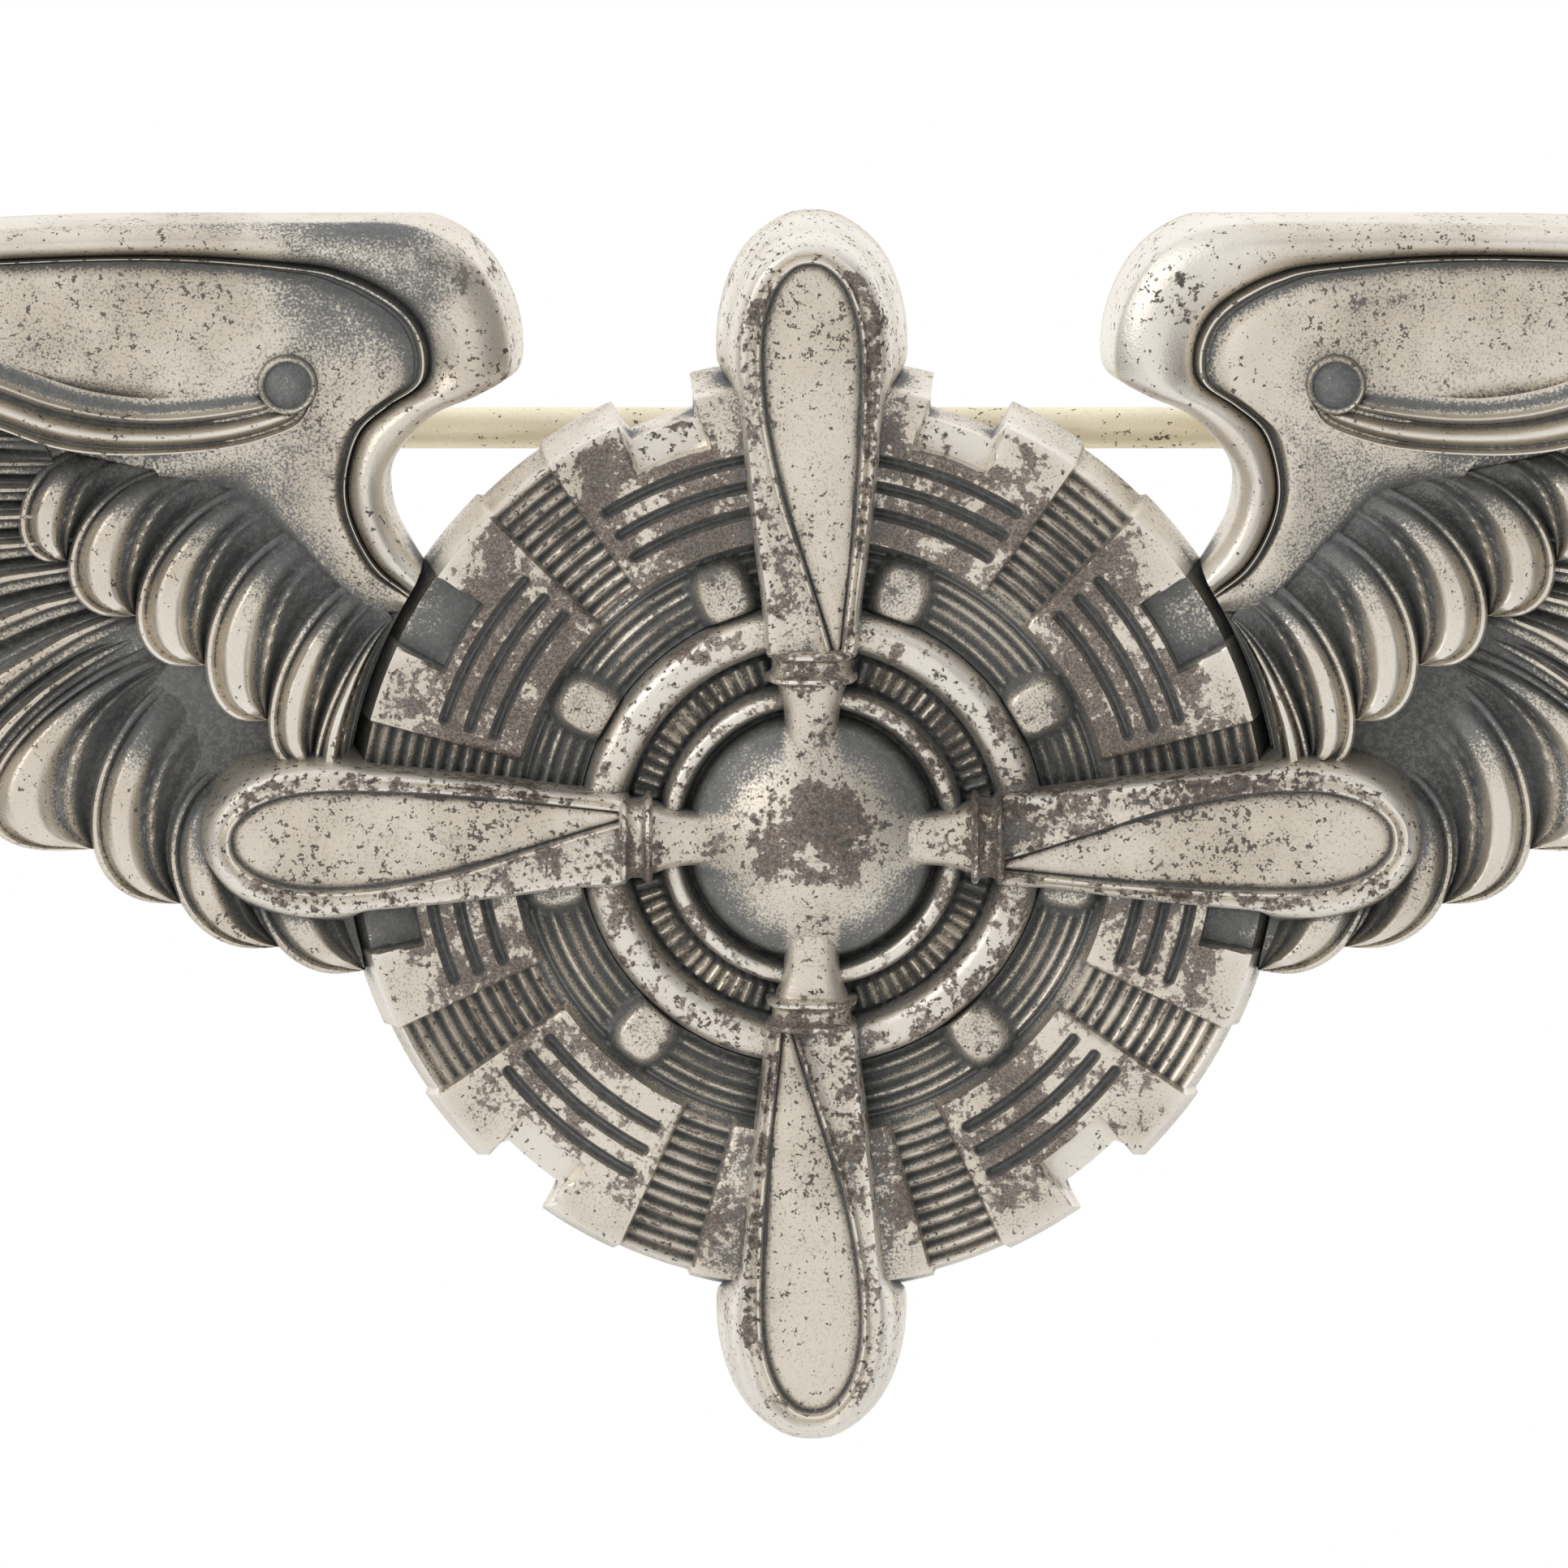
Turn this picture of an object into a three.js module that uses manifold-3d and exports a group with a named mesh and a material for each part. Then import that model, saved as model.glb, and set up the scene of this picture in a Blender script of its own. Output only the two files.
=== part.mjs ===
// An aircrew wings pin: two struck wings, a radial-engine disc, a four-blade propeller laid over
// them, and a pin back made of a hinge, a steel-hard stem and a turning safety catch. Millimetres.
//
// Everything is drawn in plan: x along the span, y up, and z out of the flat back (z = 0) towards
// the front. The pin back lies behind, at negative z. The exported group stands the plan upright,
// so the front faces -Y, up is +Z and the origin is the engine's centre on the flat back.
import * as THREE from "three";
import { mergeVertices } from "three/addons/utils/BufferGeometryUtils.js";
import Module from "manifold-3d";

const wasm = await Module();
wasm.setup();

// ---- sizes ----------------------------------------------------------------------------------

const span = 76.2; // wing tip to wing tip
const solderGap = 0.02; // film between pieces that are soldered together
const runningGap = 0.05; // radial, between pieces that turn in each other

const engine = {
  baseRadius: 10.15, // at the flat back
  draft: 0.35, // how much smaller the front is
  floor: 1.3, // height of the ground between the cylinders
};
const head = {
  count: 9, // cylinders round the engine
  halfAngle: 15.5, // degrees
  length: 3.4, // in from the rim
  height: 1.7,
};
const notch = { depth: 1.0, halfWidth: 0.8, floor: 0.9 }; // in the rim at a cylinder's end
const groove = { count: 3, first: 0.8, pitch: 0.55, width: 0.24, depth: 0.3, halfAngle: 12 };
const pushrodKnob = { radius: 0.65, inFromHead: 0.9, height: 1.8 };
const outerRing = { inner: 4.1, outer: 5.05, height: 2.1 };
const innerRing = { inner: 2.7, outer: 3.36, height: 2.1 };

const seatHeight = 1.45; // the propeller's flat underside
const blade = {
  root: 4.0, // where it leaves its collar
  tip: 13.1,
  rootHalfWidth: 0.72,
  halfWidth: 1.45, // at its widest
  widestAt: 10.8,
  height: 2.5,
  shoulder: 2.0, // its skirt reaches up to here
  draft: 0.4, // how far its skirt stands out round it
};
const collar = { radius: 3.8, halfWidth: 1.0, thickness: 0.74, height: 2.95 };
const shank = { halfWidth: 0.66, height: 2.5 };
const hub = { radius: 2.6, height: 3.2, wall: 1.9 };

const wing = {
  plate: 1.0, // ground under the feathers
  plateShare: 0.84, // how far along the flight feathers it reaches
  arm: 1.75, // the smooth arm and the neck
  rim: 2.1, // crest along the leading edge, and the scroll
  shoulder: 6.2, // how far the shoulder's straight top starts beyond the engine
  top: 13.4,
  tipDrop: 3.9, // the wing tip lies this far below the top
};
const coverts = { count: 6, swell: 1.5, under: 0.95, rise: 1.4, blunt: 3.4, height: 1.8, step: 0.04 };
const secondaries = { count: 4, swell: 1.5, under: 0.9, rise: 1.6, blunt: 3.2, height: 1.3, step: 0.05 };
const primaries = { count: 9, swell: 0.8, under: 1.7, rise: 5, blunt: 8, height: 1.2, step: 0.05 };

const stem = { radius: 0.45, point: 3.2, overhang: 4.0, height: 8.4 };
const hinge = { x: -15.5, eyeRadius: 0.95, earThickness: 0.5, earRadius: 0.95, base: 0.4 };
const rivet = { radius: 0.38, headRadius: 0.62, headThickness: 0.22 };
const pad = { width: 5.4, height: 4.6, corner: 1.2, thickness: 0.5 };
const catchPart = { x: 13.5, length: 2.2, wall: 0.5, footHalfWidth: 1.25, underCollar: 0.31 };
const rotor = { wall: 0.55, collarThickness: 0.35, collarProud: 0.3, lever: 2.9, leverWidth: 1.1 };
const stemClearance = 0.15; // round the stem inside the catch

// What follows from them.
const faceRadius = engine.baseRadius - engine.draft;
const headInner = faceRadius - head.length;
const eyeWidth = 2 * stem.radius;
const channel = stem.radius + stemClearance; // half width of the way in, and the rotor's bore
const rotorRadius = channel + rotor.wall;
const rotorCollarRadius = rotorRadius + rotor.collarProud;
const housingBore = rotorRadius + runningGap;
const housingRadius = housingBore + catchPart.wall;
const padBack = -pad.thickness - 2 * solderGap; // what stands on a pad starts here
const stemDepth = rotorCollarRadius + catchPart.underCollar - padBack; // the wire's line lies this far behind

// ---- solids ---------------------------------------------------------------------------------

const point = (x, y) => new THREE.Vector2(x, y);
const radians = THREE.MathUtils.degToRad;

// A closed geometry as a manifold solid.
function solid(geometry) {
  const open = geometry.index ? geometry.toNonIndexed() : geometry.clone();
  open.deleteAttribute("normal");
  open.deleteAttribute("uv");
  const merged = mergeVertices(open, 1e-4);
  return new wasm.Manifold(
    new wasm.Mesh({
      numProp: 3,
      vertProperties: merged.attributes.position.array,
      triVerts: new Uint32Array(merged.index.array),
    }),
  );
}

function geometryOf(manifold) {
  const mesh = manifold.getMesh();
  const positions = new Float32Array(mesh.numVert * 3);
  for (let i = 0; i < mesh.numVert; i++)
    positions.set(mesh.vertProperties.subarray(i * mesh.numProp, i * mesh.numProp + 3), i * 3);
  return new THREE.BufferGeometry()
    .setAttribute("position", new THREE.BufferAttribute(positions, 3))
    .setIndex(new THREE.BufferAttribute(new Uint32Array(mesh.triVerts), 1));
}

const join = (solids) => solids.reduce((sum, one) => sum.add(one));

// A plan outline raised from one height to another.
function prism(outline, from, to, curveSegments = 8) {
  const shape = outline instanceof THREE.Shape ? outline : new THREE.Shape(outline);
  const geometry = new THREE.ExtrudeGeometry(shape, { depth: to - from, bevelEnabled: false, curveSegments });
  return solid(geometry.translate(0, 0, from));
}

// A profile of [radius, height] pairs turned about the plan's z axis.
function turned(profile, segments) {
  const geometry = new THREE.LatheGeometry(profile.map(([r, h]) => point(r, h)), segments);
  return solid(geometry.rotateX(Math.PI / 2));
}

function block(width, height, from, to, x = 0, y = 0) {
  return solid(new THREE.BoxGeometry(width, height, to - from).translate(x, y, (from + to) / 2));
}

// A round bar along the plan's x or y axis.
function bar(axis, radius, from, to, sides = 24) {
  const geometry = new THREE.CylinderGeometry(radius, radius, to - from, sides);
  geometry.translate(0, (from + to) / 2, 0);
  if (axis === "x") geometry.rotateZ(-Math.PI / 2);
  return solid(geometry);
}

// ---- the propeller --------------------------------------------------------------------------

// One blade's outline, pointing up, widened all round by grow.
function bladeOutline(grow) {
  const root = blade.rootHalfWidth + grow;
  const wide = blade.halfWidth + grow;
  const tip = blade.tip + grow;
  const shape = new THREE.Shape();
  shape.moveTo(-root, blade.root - grow);
  shape.lineTo(root, blade.root - grow);
  shape.bezierCurveTo(root + 0.15, blade.root + 3, wide, blade.widestAt - 3, wide, blade.widestAt);
  shape.bezierCurveTo(wide, blade.widestAt + 1.2, wide * 0.6, tip, 0, tip);
  shape.bezierCurveTo(-wide * 0.6, tip, -wide, blade.widestAt + 1.2, -wide, blade.widestAt);
  shape.bezierCurveTo(-wide, blade.widestAt - 3, -root - 0.15, blade.root + 3, -root, blade.root - grow);
  return shape;
}

// The whole propeller from a floor up, widened all round by grow, so that it also cuts its own seat.
function propeller(floor, grow) {
  const width = (half) => 2 * (half + grow);
  const arm = join([
    prism(bladeOutline(grow), floor, blade.height + grow, 4),
    prism(bladeOutline(grow + blade.draft), floor, blade.shoulder + grow, 4),
    block(
      width(collar.halfWidth),
      width(collar.thickness / 2),
      floor,
      collar.height + grow,
      0,
      collar.radius,
    ),
    block(width(shank.halfWidth), collar.radius, floor, shank.height + grow, 0, collar.radius / 2),
    block(
      width(blade.rootHalfWidth),
      blade.root - collar.radius + 0.4,
      floor,
      blade.height + grow,
      0,
      (blade.root + collar.radius) / 2,
    ),
  ]);
  const r = hub.radius + grow;
  const wall = hub.wall + grow;
  const rise = hub.height - hub.wall;
  const dome = turned(
    [[0, floor], [r, floor], [r, wall], [r * 0.87, wall + rise * 0.46], [r * 0.5, wall + rise * 0.85],
      [0, wall + rise]],
    32,
  );
  return join([dome, ...[0, 90, 180, 270].map((turn) => arm.rotate([0, 0, turn]))]);
}

const propellerSeat = propeller(seatHeight, solderGap);

// ---- the engine disc ------------------------------------------------------------------------

// The angle of each cylinder, clockwise from the top. The middle one points straight down.
const headAngles = Array.from({ length: head.count }, (_, i) => (i + 0.5) * (360 / head.count));

// A band between two radii and two angles either side of straight up.
function sector(inner, outer, halfAngle) {
  const half = radians(halfAngle);
  const shape = new THREE.Shape();
  shape.absarc(0, 0, outer, Math.PI / 2 - half, Math.PI / 2 + half, false);
  shape.absarc(0, 0, inner, Math.PI / 2 + half, Math.PI / 2 - half, true);
  return shape;
}

function cylinderHead(hasNotch) {
  let plate = prism(sector(headInner, faceRadius, head.halfAngle), 0.5, head.height, 6);
  for (let i = 0; i < groove.count; i++) {
    const radius = headInner + groove.first + i * groove.pitch;
    const outline = sector(radius - groove.width / 2, radius + groove.width / 2, groove.halfAngle);
    plate = plate.subtract(prism(outline, head.height - groove.depth, head.height + 1, 4));
  }
  return hasNotch ? plate.subtract(rimNotch()) : plate;
}

// The cut in the rim also opens the disc below the plate.
function rimNotch() {
  const from = faceRadius - notch.depth;
  const to = engine.baseRadius + 1;
  return block(2 * notch.halfWidth, to - from, notch.floor, head.height + 1, 0, (from + to) / 2);
}

function ring({ inner, outer, height }) {
  const middle = (inner + outer) / 2;
  const side = height - 0.4;
  return turned([[inner, 1], [outer, 1], [outer, side], [middle, height], [inner, side], [inner, 1]], 36);
}

function engineDisc() {
  let disc = turned(
    [[0, 0], [engine.baseRadius, 0], [faceRadius, engine.floor], [0, engine.floor]],
    72,
  );
  const lug = prism(bladeOutline(blade.draft), 0, seatHeight, 4);
  const knob = turned(
    [[0, 1], [pushrodKnob.radius, 1], [pushrodKnob.radius, 1.5], [0, pushrodKnob.height]],
    8,
  ).translate([0, headInner - pushrodKnob.inFromHead, 0]);
  const boss = turned([[0, 1], [hub.radius, 1], [hub.radius, seatHeight], [0, seatHeight]], 24);
  for (const angle of headAngles) {
    const hasNotch = Math.abs(angle - 180) > 1;
    if (hasNotch) disc = disc.subtract(rimNotch().rotate([0, 0, -angle]));
    disc = disc.add(cylinderHead(hasNotch).rotate([0, 0, -angle]));
    disc = disc.add(knob.rotate([0, 0, -angle]));
  }
  disc = join([disc, lug, lug.rotate([0, 0, 180]), ring(outerRing), ring(innerRing), boss]);
  return disc.subtract(propellerSeat);
}

// ---- the wings ------------------------------------------------------------------------------

const wingTip = point(span / 2, wing.top - wing.tipDrop);

// A place beside the engine, measured from its edge, and one between shoulder and wing tip.
const near = (x, y) => point(engine.baseRadius + x, y);
const far = (share, y) =>
  point(THREE.MathUtils.lerp(engine.baseRadius + wing.shoulder, span / 2, share), y);

// The leading edge, from the engine up round the hook and the shoulder and out to the tip.
const leadingEdge = [
  near(-1.8, 5.75), near(-1.2, 6.6), near(-1.15, 7.3), near(-1.55, 8.35), near(-2.75, 9.0),
  near(-3.75, 9.6), near(-3.85, 10.5), near(-3.0, 12.3), near(-1.7, wing.top - 0.3),
  near(0.3, wing.top), far(0, wing.top - 0.1), far(0.35, wing.top - 0.5), far(0.7, wing.top - 1.4),
  far(0.92, wing.top - 2.6), wingTip,
];
// The crest that runs beside it: the smooth arm starts here.
const crest = [
  near(-0.7, 5.2), near(-0.05, 6.7), near(0, 7.5), near(-0.75, 8.9), near(-1.75, 9.8),
  near(-1.95, 10.7), near(-1.3, 11.8), near(0.4, 12.5), near(2.2, 12.65), far(0, 12.7),
  far(0.35, 12.4), far(0.7, 11.5),
];
// The scroll under the arm, from its curled end to where it dies into the crest.
const scrollTop = [
  near(1.45, 9.65), near(2.8, 9.5), near(4.3, 9.55), far(0, 10.1), far(0.25, 11.3), far(0.5, 12.1),
];
const scrollFoot = [
  near(0.7, 9.3), near(1.4, 8.5), near(2.7, 8.2), near(4.3, 8.2), far(0, 8.5), far(0.25, 10.2),
  far(0.5, 11.9),
];
const scrollCurl = { centre: near(0.95, 10.0), radius: 0.65, height: 2.2 };

// The lines that the feathers' roots and tips lie on, each a start, a control point and an end.
const line = (...points) => new THREE.QuadraticBezierCurve(...points);
const covertRoots = line(near(5.6, 8.3), near(1.2, 7.6), near(-0.95, 4.4));
const covertTips = line(near(5.9, 5.7), near(2.7, 2.5), near(-0.5, 1.0));
const flightRoots = line(near(0.6, 1.4), near(3.0, 6.0), far(0.1, 10.5));
const flightTips = line(near(-0.35, -3.1), near(9.9, 1.4), wingTip);

// A feather's outline. Its edges swell away from the chord between root and tip: by swell on the
// left of that direction (the right if turn is -1) and by under on the other side.
function feather(root, tip, kind, turn) {
  const steps = 7;
  const chord = tip.clone().sub(root);
  const side = point(-chord.y, chord.x).normalize().multiplyScalar(turn);
  const edge = (swell) =>
    Array.from({ length: steps }, (_, i) => {
      const s = Math.sin((Math.PI / 2) * ((i + 0.5) / steps));
      const width = swell * (1 - (1 - s) ** kind.rise) * Math.sqrt(1 - s ** kind.blunt);
      return root.clone().addScaledVector(chord, s).addScaledVector(side, width);
    });
  return [root, ...edge(kind.swell), tip, ...edge(-kind.under).reverse()];
}

function rightWing() {
  const edge = new THREE.SplineCurve(leadingEdge).getPoints(60);
  const ridge = new THREE.SplineCurve(crest).getPoints(44);
  const scroll = [
    ...new THREE.SplineCurve(scrollTop).getPoints(16),
    ...new THREE.SplineCurve(scrollFoot).getPoints(18).reverse(),
  ];
  const trailing = [1, 0.8, 0.6, 0.4, 0.2, 0].map((t) =>
    flightRoots.getPoint(t).lerp(flightTips.getPoint(t), wing.plateShare),
  );
  const solids = [
    prism([near(-1.8, 0), ...edge, ...trailing, near(-1.8, -2.6)], 0, wing.plate),
    prism([near(-1.8, 4), ...edge.slice(0, 50), ...new THREE.SplineCurve(scrollFoot).getPoints(8).reverse(),
      near(1.2, 6.5), near(0.4, 4.4)], 0.5, wing.arm),
    prism([...edge, ...ridge.reverse()], 0.5, wing.rim),
    prism(scroll, 0.5, wing.rim),
    turned([[0, 1], [scrollCurl.radius, 1], [scrollCurl.radius, 1.9], [0, scrollCurl.height]], 16)
      .translate([scrollCurl.centre.x, scrollCurl.centre.y, 0]),
  ];
  for (let i = 0; i < coverts.count; i++) {
    const t = i / (coverts.count - 1);
    const outline = feather(covertRoots.getPoint(t), covertTips.getPoint(t), coverts, 1);
    solids.push(prism(outline, 0.5, coverts.height + coverts.step * i));
  }
  const flightCount = secondaries.count + primaries.count;
  for (let i = 0; i < flightCount; i++) {
    const t = i / (flightCount - 1);
    const isPrimary = i >= secondaries.count;
    const kind = isPrimary ? primaries : secondaries;
    const rank = isPrimary ? i - secondaries.count : secondaries.count - 1 - i;
    const outline = feather(flightRoots.getPoint(t), flightTips.getPoint(t), kind, isPrimary ? -1 : 1);
    solids.push(prism(outline, 0, kind.height + kind.step * rank));
  }
  const bore = turned(
    [[0, -1], [engine.baseRadius + solderGap, -1], [engine.baseRadius + solderGap, 9], [0, 9]],
    72,
  );
  return join(solids).subtract(bore).subtract(propellerSeat);
}

// ---- the pin back ---------------------------------------------------------------------------

// The solder pad under the hinge or the catch, against the flat back.
function solderPad(x) {
  const w = pad.width / 2;
  const h = pad.height / 2;
  const c = pad.corner;
  const shape = new THREE.Shape();
  shape.absarc(w - c, h - c, c, 0, Math.PI / 2, false);
  shape.absarc(c - w, h - c, c, Math.PI / 2, Math.PI, false);
  shape.absarc(c - w, c - h, c, Math.PI, 1.5 * Math.PI, false);
  shape.absarc(w - c, c - h, c, 1.5 * Math.PI, 2 * Math.PI, false);
  return prism(shape, -solderGap - pad.thickness, -solderGap, 5).translate([x, stem.height, 0]);
}

// Two ears on a base, with the rivet's hole through both.
function hingeBracket() {
  const innerFace = eyeWidth / 2 + runningGap;
  const width = 2 * (innerFace + hinge.earThickness);
  const length = 2 * hinge.earRadius + 0.9;
  const base = block(length, width, padBack - hinge.base, padBack);
  const ear = (side) => {
    const from = side > 0 ? innerFace : -innerFace - hinge.earThickness;
    const disc = bar("y", hinge.earRadius, from, from + hinge.earThickness).translate([0, 0, -stemDepth]);
    const web = block(
      2 * hinge.earRadius,
      hinge.earThickness,
      -stemDepth,
      padBack - hinge.base / 2,
      0,
      from + hinge.earThickness / 2,
    );
    return disc.add(web);
  };
  const hole = bar("y", rivet.radius + solderGap, -width, width).translate([0, 0, -stemDepth]);
  return join([base, ear(1), ear(-1)]).subtract(hole).translate([hinge.x, stem.height, 0]);
}

function hingeRivet() {
  const half = eyeWidth / 2 + runningGap + hinge.earThickness + solderGap;
  const shaft = bar("y", rivet.radius, -half - 0.1, half + 0.1);
  const upper = bar("y", rivet.headRadius, half, half + rivet.headThickness);
  const lower = bar("y", rivet.headRadius, -half - rivet.headThickness, -half);
  return join([shaft, upper, lower]).translate([hinge.x, stem.height, -stemDepth]);
}

// The wire from its eye to its ground point, through the catch.
function pinStem() {
  const end = catchPart.x - hinge.x + stem.overhang;
  const eye = bar("y", hinge.eyeRadius, -eyeWidth / 2, eyeWidth / 2);
  const wire = bar("x", stem.radius, hinge.eyeRadius * 0.6, end - stem.point, 20);
  const tipRadius = 0.05;
  const cone = new THREE.CylinderGeometry(tipRadius, stem.radius, stem.point, 20)
    .translate(0, stem.point / 2, 0)
    .rotateZ(-Math.PI / 2)
    .translate(end - stem.point, 0, 0);
  const hole = bar("y", rivet.radius + runningGap, -eyeWidth, eyeWidth);
  return join([eye, wire, solid(cone)]).subtract(hole).translate([hinge.x, stem.height, -stemDepth]);
}

// A way in from behind for the stem, through whatever surrounds its line.
const wayIn = (from, to) => block(to - from, 2 * channel, -9, 0, (from + to) / 2);

// A barrel open behind, on a foot that stands on its pad.
function catchHousing() {
  const half = catchPart.length / 2;
  const foot = block(
    catchPart.length,
    2 * catchPart.footHalfWidth,
    0,
    stemDepth + padBack,
  );
  const barrel = bar("x", housingRadius, -half, half, 28);
  const keepBelowPad = block(9, 9, stemDepth + padBack, 9);
  return join([barrel, foot])
    .subtract(bar("x", housingBore, -half - 1, half + 1, 28))
    .subtract(wayIn(-half - 1, half + 1))
    .subtract(keepBelowPad)
    .translate([catchPart.x, stem.height, -stemDepth]);
}

// The slotted sleeve that turns in the barrel, with a collar at each end and a thumb lever.
function catchRotor() {
  const half = catchPart.length / 2 + runningGap;
  const end = half + rotor.collarThickness;
  const sleeve = bar("x", rotorRadius, -end, end, 28);
  const collars = [bar("x", rotorCollarRadius, -end, -half, 28), bar("x", rotorCollarRadius, half, end, 28)];
  const lever = block(
    rotor.collarThickness,
    rotor.lever - channel,
    -rotor.leverWidth / 2,
    rotor.leverWidth / 2,
    half + rotor.collarThickness / 2,
    (rotor.lever + channel) / 2,
  );
  return join([sleeve, ...collars, lever])
    .subtract(bar("x", channel, -end - 1, end + 1, 24))
    .subtract(wayIn(-end - 1, end + 1))
    .translate([catchPart.x, stem.height, -stemDepth]);
}

// ---- the assembly ---------------------------------------------------------------------------

const sterling = new THREE.MeshStandardMaterial({ color: 0xb9b3a6, roughness: 0.42, metalness: 1 });
const oxidised = new THREE.MeshStandardMaterial({ color: 0x7d7c7a, roughness: 0.55, metalness: 1 });
const nickel = new THREE.MeshStandardMaterial({ color: 0xc9bd97, roughness: 0.3, metalness: 1 });

const badge = new THREE.Group();

function addPiece(name, manifold, material) {
  const mesh = new THREE.Mesh(geometryOf(manifold), material);
  mesh.name = name;
  badge.add(mesh);
  return mesh;
}

const wingSolid = rightWing();
addPiece("right_wing", wingSolid, sterling);
addPiece("left_wing", wingSolid, sterling).scale.x = -1;
addPiece("engine_disc", engineDisc(), oxidised);
addPiece("propeller", propeller(seatHeight + solderGap, 0), sterling);
addPiece("hinge_pad", solderPad(hinge.x), sterling);
addPiece("hinge_bracket", hingeBracket(), nickel);
addPiece("hinge_rivet", hingeRivet(), nickel);
addPiece("pin_stem", pinStem(), nickel);
addPiece("catch_pad", solderPad(catchPart.x), sterling);
addPiece("catch_housing", catchHousing(), nickel);
addPiece("catch_rotor", catchRotor(), nickel);

badge.rotation.x = Math.PI / 2;

export default badge;
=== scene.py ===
import math

import bmesh
import bpy
import numpy as np
from mathutils import Matrix, Vector, noise
from mathutils.bvhtree import BVHTree


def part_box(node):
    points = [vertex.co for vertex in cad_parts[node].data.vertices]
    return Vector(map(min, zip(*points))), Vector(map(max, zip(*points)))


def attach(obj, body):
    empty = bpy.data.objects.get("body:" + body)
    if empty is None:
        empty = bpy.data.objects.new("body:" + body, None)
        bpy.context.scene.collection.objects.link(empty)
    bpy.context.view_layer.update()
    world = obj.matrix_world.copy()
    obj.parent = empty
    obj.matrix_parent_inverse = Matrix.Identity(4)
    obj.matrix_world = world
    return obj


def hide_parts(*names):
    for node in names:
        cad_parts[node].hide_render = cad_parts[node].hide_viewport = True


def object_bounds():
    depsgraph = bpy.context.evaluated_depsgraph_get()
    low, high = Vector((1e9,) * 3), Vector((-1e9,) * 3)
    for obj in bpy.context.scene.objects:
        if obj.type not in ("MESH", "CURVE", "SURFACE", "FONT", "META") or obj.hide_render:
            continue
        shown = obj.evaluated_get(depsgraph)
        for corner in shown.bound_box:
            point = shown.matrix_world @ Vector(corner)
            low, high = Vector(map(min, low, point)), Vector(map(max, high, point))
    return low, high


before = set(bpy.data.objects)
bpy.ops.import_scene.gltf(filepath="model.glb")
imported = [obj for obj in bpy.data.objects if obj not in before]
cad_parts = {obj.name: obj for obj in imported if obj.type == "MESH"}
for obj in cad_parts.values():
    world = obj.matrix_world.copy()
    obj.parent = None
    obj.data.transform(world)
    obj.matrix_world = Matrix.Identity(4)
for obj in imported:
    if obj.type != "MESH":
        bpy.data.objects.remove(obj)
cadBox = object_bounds()

mm = 0.001
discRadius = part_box("engine_disc")[1][0] / mm  # at the flat back
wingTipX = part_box("right_wing")[1][0] / mm
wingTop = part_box("right_wing")[1][2] / mm
wingGap = 0.03  # between the wings and the disc's rim
topGap = 0.01  # how far the wings stay below their CAD top
plateThickness = 0.85
backTo = 0.12  # whatever is lower belongs to the back
headsFrom = 1.55  # the cylinders' faces are higher than this


# Everything is laid out in plan, in millimetres: x along the span, y up, h out of the flat back.

def place(x, y, h):
    return np.stack(np.broadcast_arrays(x, -np.asarray(h), y), axis=-1) * mm


def ease(low, high, value):
    t = np.clip((value - low) / (high - low), 0, 1)
    return t * t * (3 - 2 * t)


def bump(value, centre, half):
    return 0.5 + 0.5 * np.cos(np.pi * np.clip((value - centre) / half, -1, 1))


def smoothLine(points, closed=False, n=240):
    p = np.array(points, float)
    p = np.vstack([p[-1:], p, p[:2]]) if closed else np.vstack([2 * p[0] - p[1], p, 2 * p[-1] - p[-2]])
    t = np.linspace(0, 1, 24, endpoint=False)[:, None]
    spans = []
    for a, b, c, d in zip(p, p[1:], p[2:], p[3:]):
        spans.append(b + 0.5 * t * (c - a + t * (2 * a - 5 * b + 4 * c - d + t * (3 * b - a - 3 * c + d))))
    line = np.vstack(spans + [p[-2:-1]])
    along = np.r_[0, np.cumsum(np.linalg.norm(np.diff(line, axis=0), axis=1))]
    even = np.linspace(0, along[-1], n)
    return np.stack([np.interp(even, along, line[:, k]) for k in (0, 1)], 1)


def pick(line, t):
    k = np.linspace(0, 1, len(line))
    return np.stack([np.interp(t, k, line[:, i]) for i in (0, 1)], -1)


def bezier(a, b, c, d, n=160):
    t = np.linspace(0, 1, n)[:, None]
    a, b, c, d = (np.array(q, float) for q in (a, b, c, d))
    return a * (1 - t) ** 3 + 3 * b * t * (1 - t) ** 2 + 3 * c * t * t * (1 - t) + d * t ** 3


def vertsOf(geom):
    return [g for g in geom if isinstance(g, bmesh.types.BMVert)]


def edgesOf(geom):
    return [g for g in geom if isinstance(g, bmesh.types.BMEdge)]


# How much darker each place is painted than its hollow alone makes it. Positive values are partly oxide in
# grooves and partly painted shade; negative values paint it lighter, a painted reflection on outer walls and
# a painted highlight on notch ramps.
def shadeLayer(bm):
    return bm.verts.layers.float.get("shade") or bm.verts.layers.float.new("shade")


def layOn(bm, verts, x, y, h, shade):
    layer = shadeLayer(bm)
    shades = np.broadcast_to(shade, x.shape).ravel().tolist()
    for vert, co, darker in zip(verts, place(x, y, h).reshape(-1, 3).tolist(), shades):
        vert.co = co
        vert[layer] = darker


# A grid laid on x, y, h and closed by a wall down to a flat floor.
def patch(bm, x, y, h, floor, shade=0.0):
    shadeLayer(bm)
    rows, cols = x.shape
    made = bmesh.ops.create_grid(bm, x_segments=cols - 1, y_segments=rows - 1, size=0.5)["verts"]
    layOn(bm, made, x, y, h, shade)
    rim = list({e for v in made for e in v.link_edges if e.is_boundary})
    skirt = bmesh.ops.extrude_edge_only(bm, edges=rim)["geom"]
    for vert in vertsOf(skirt):
        vert.co.y = -floor * mm
    bmesh.ops.holes_fill(bm, edges=edgesOf(skirt))


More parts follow.
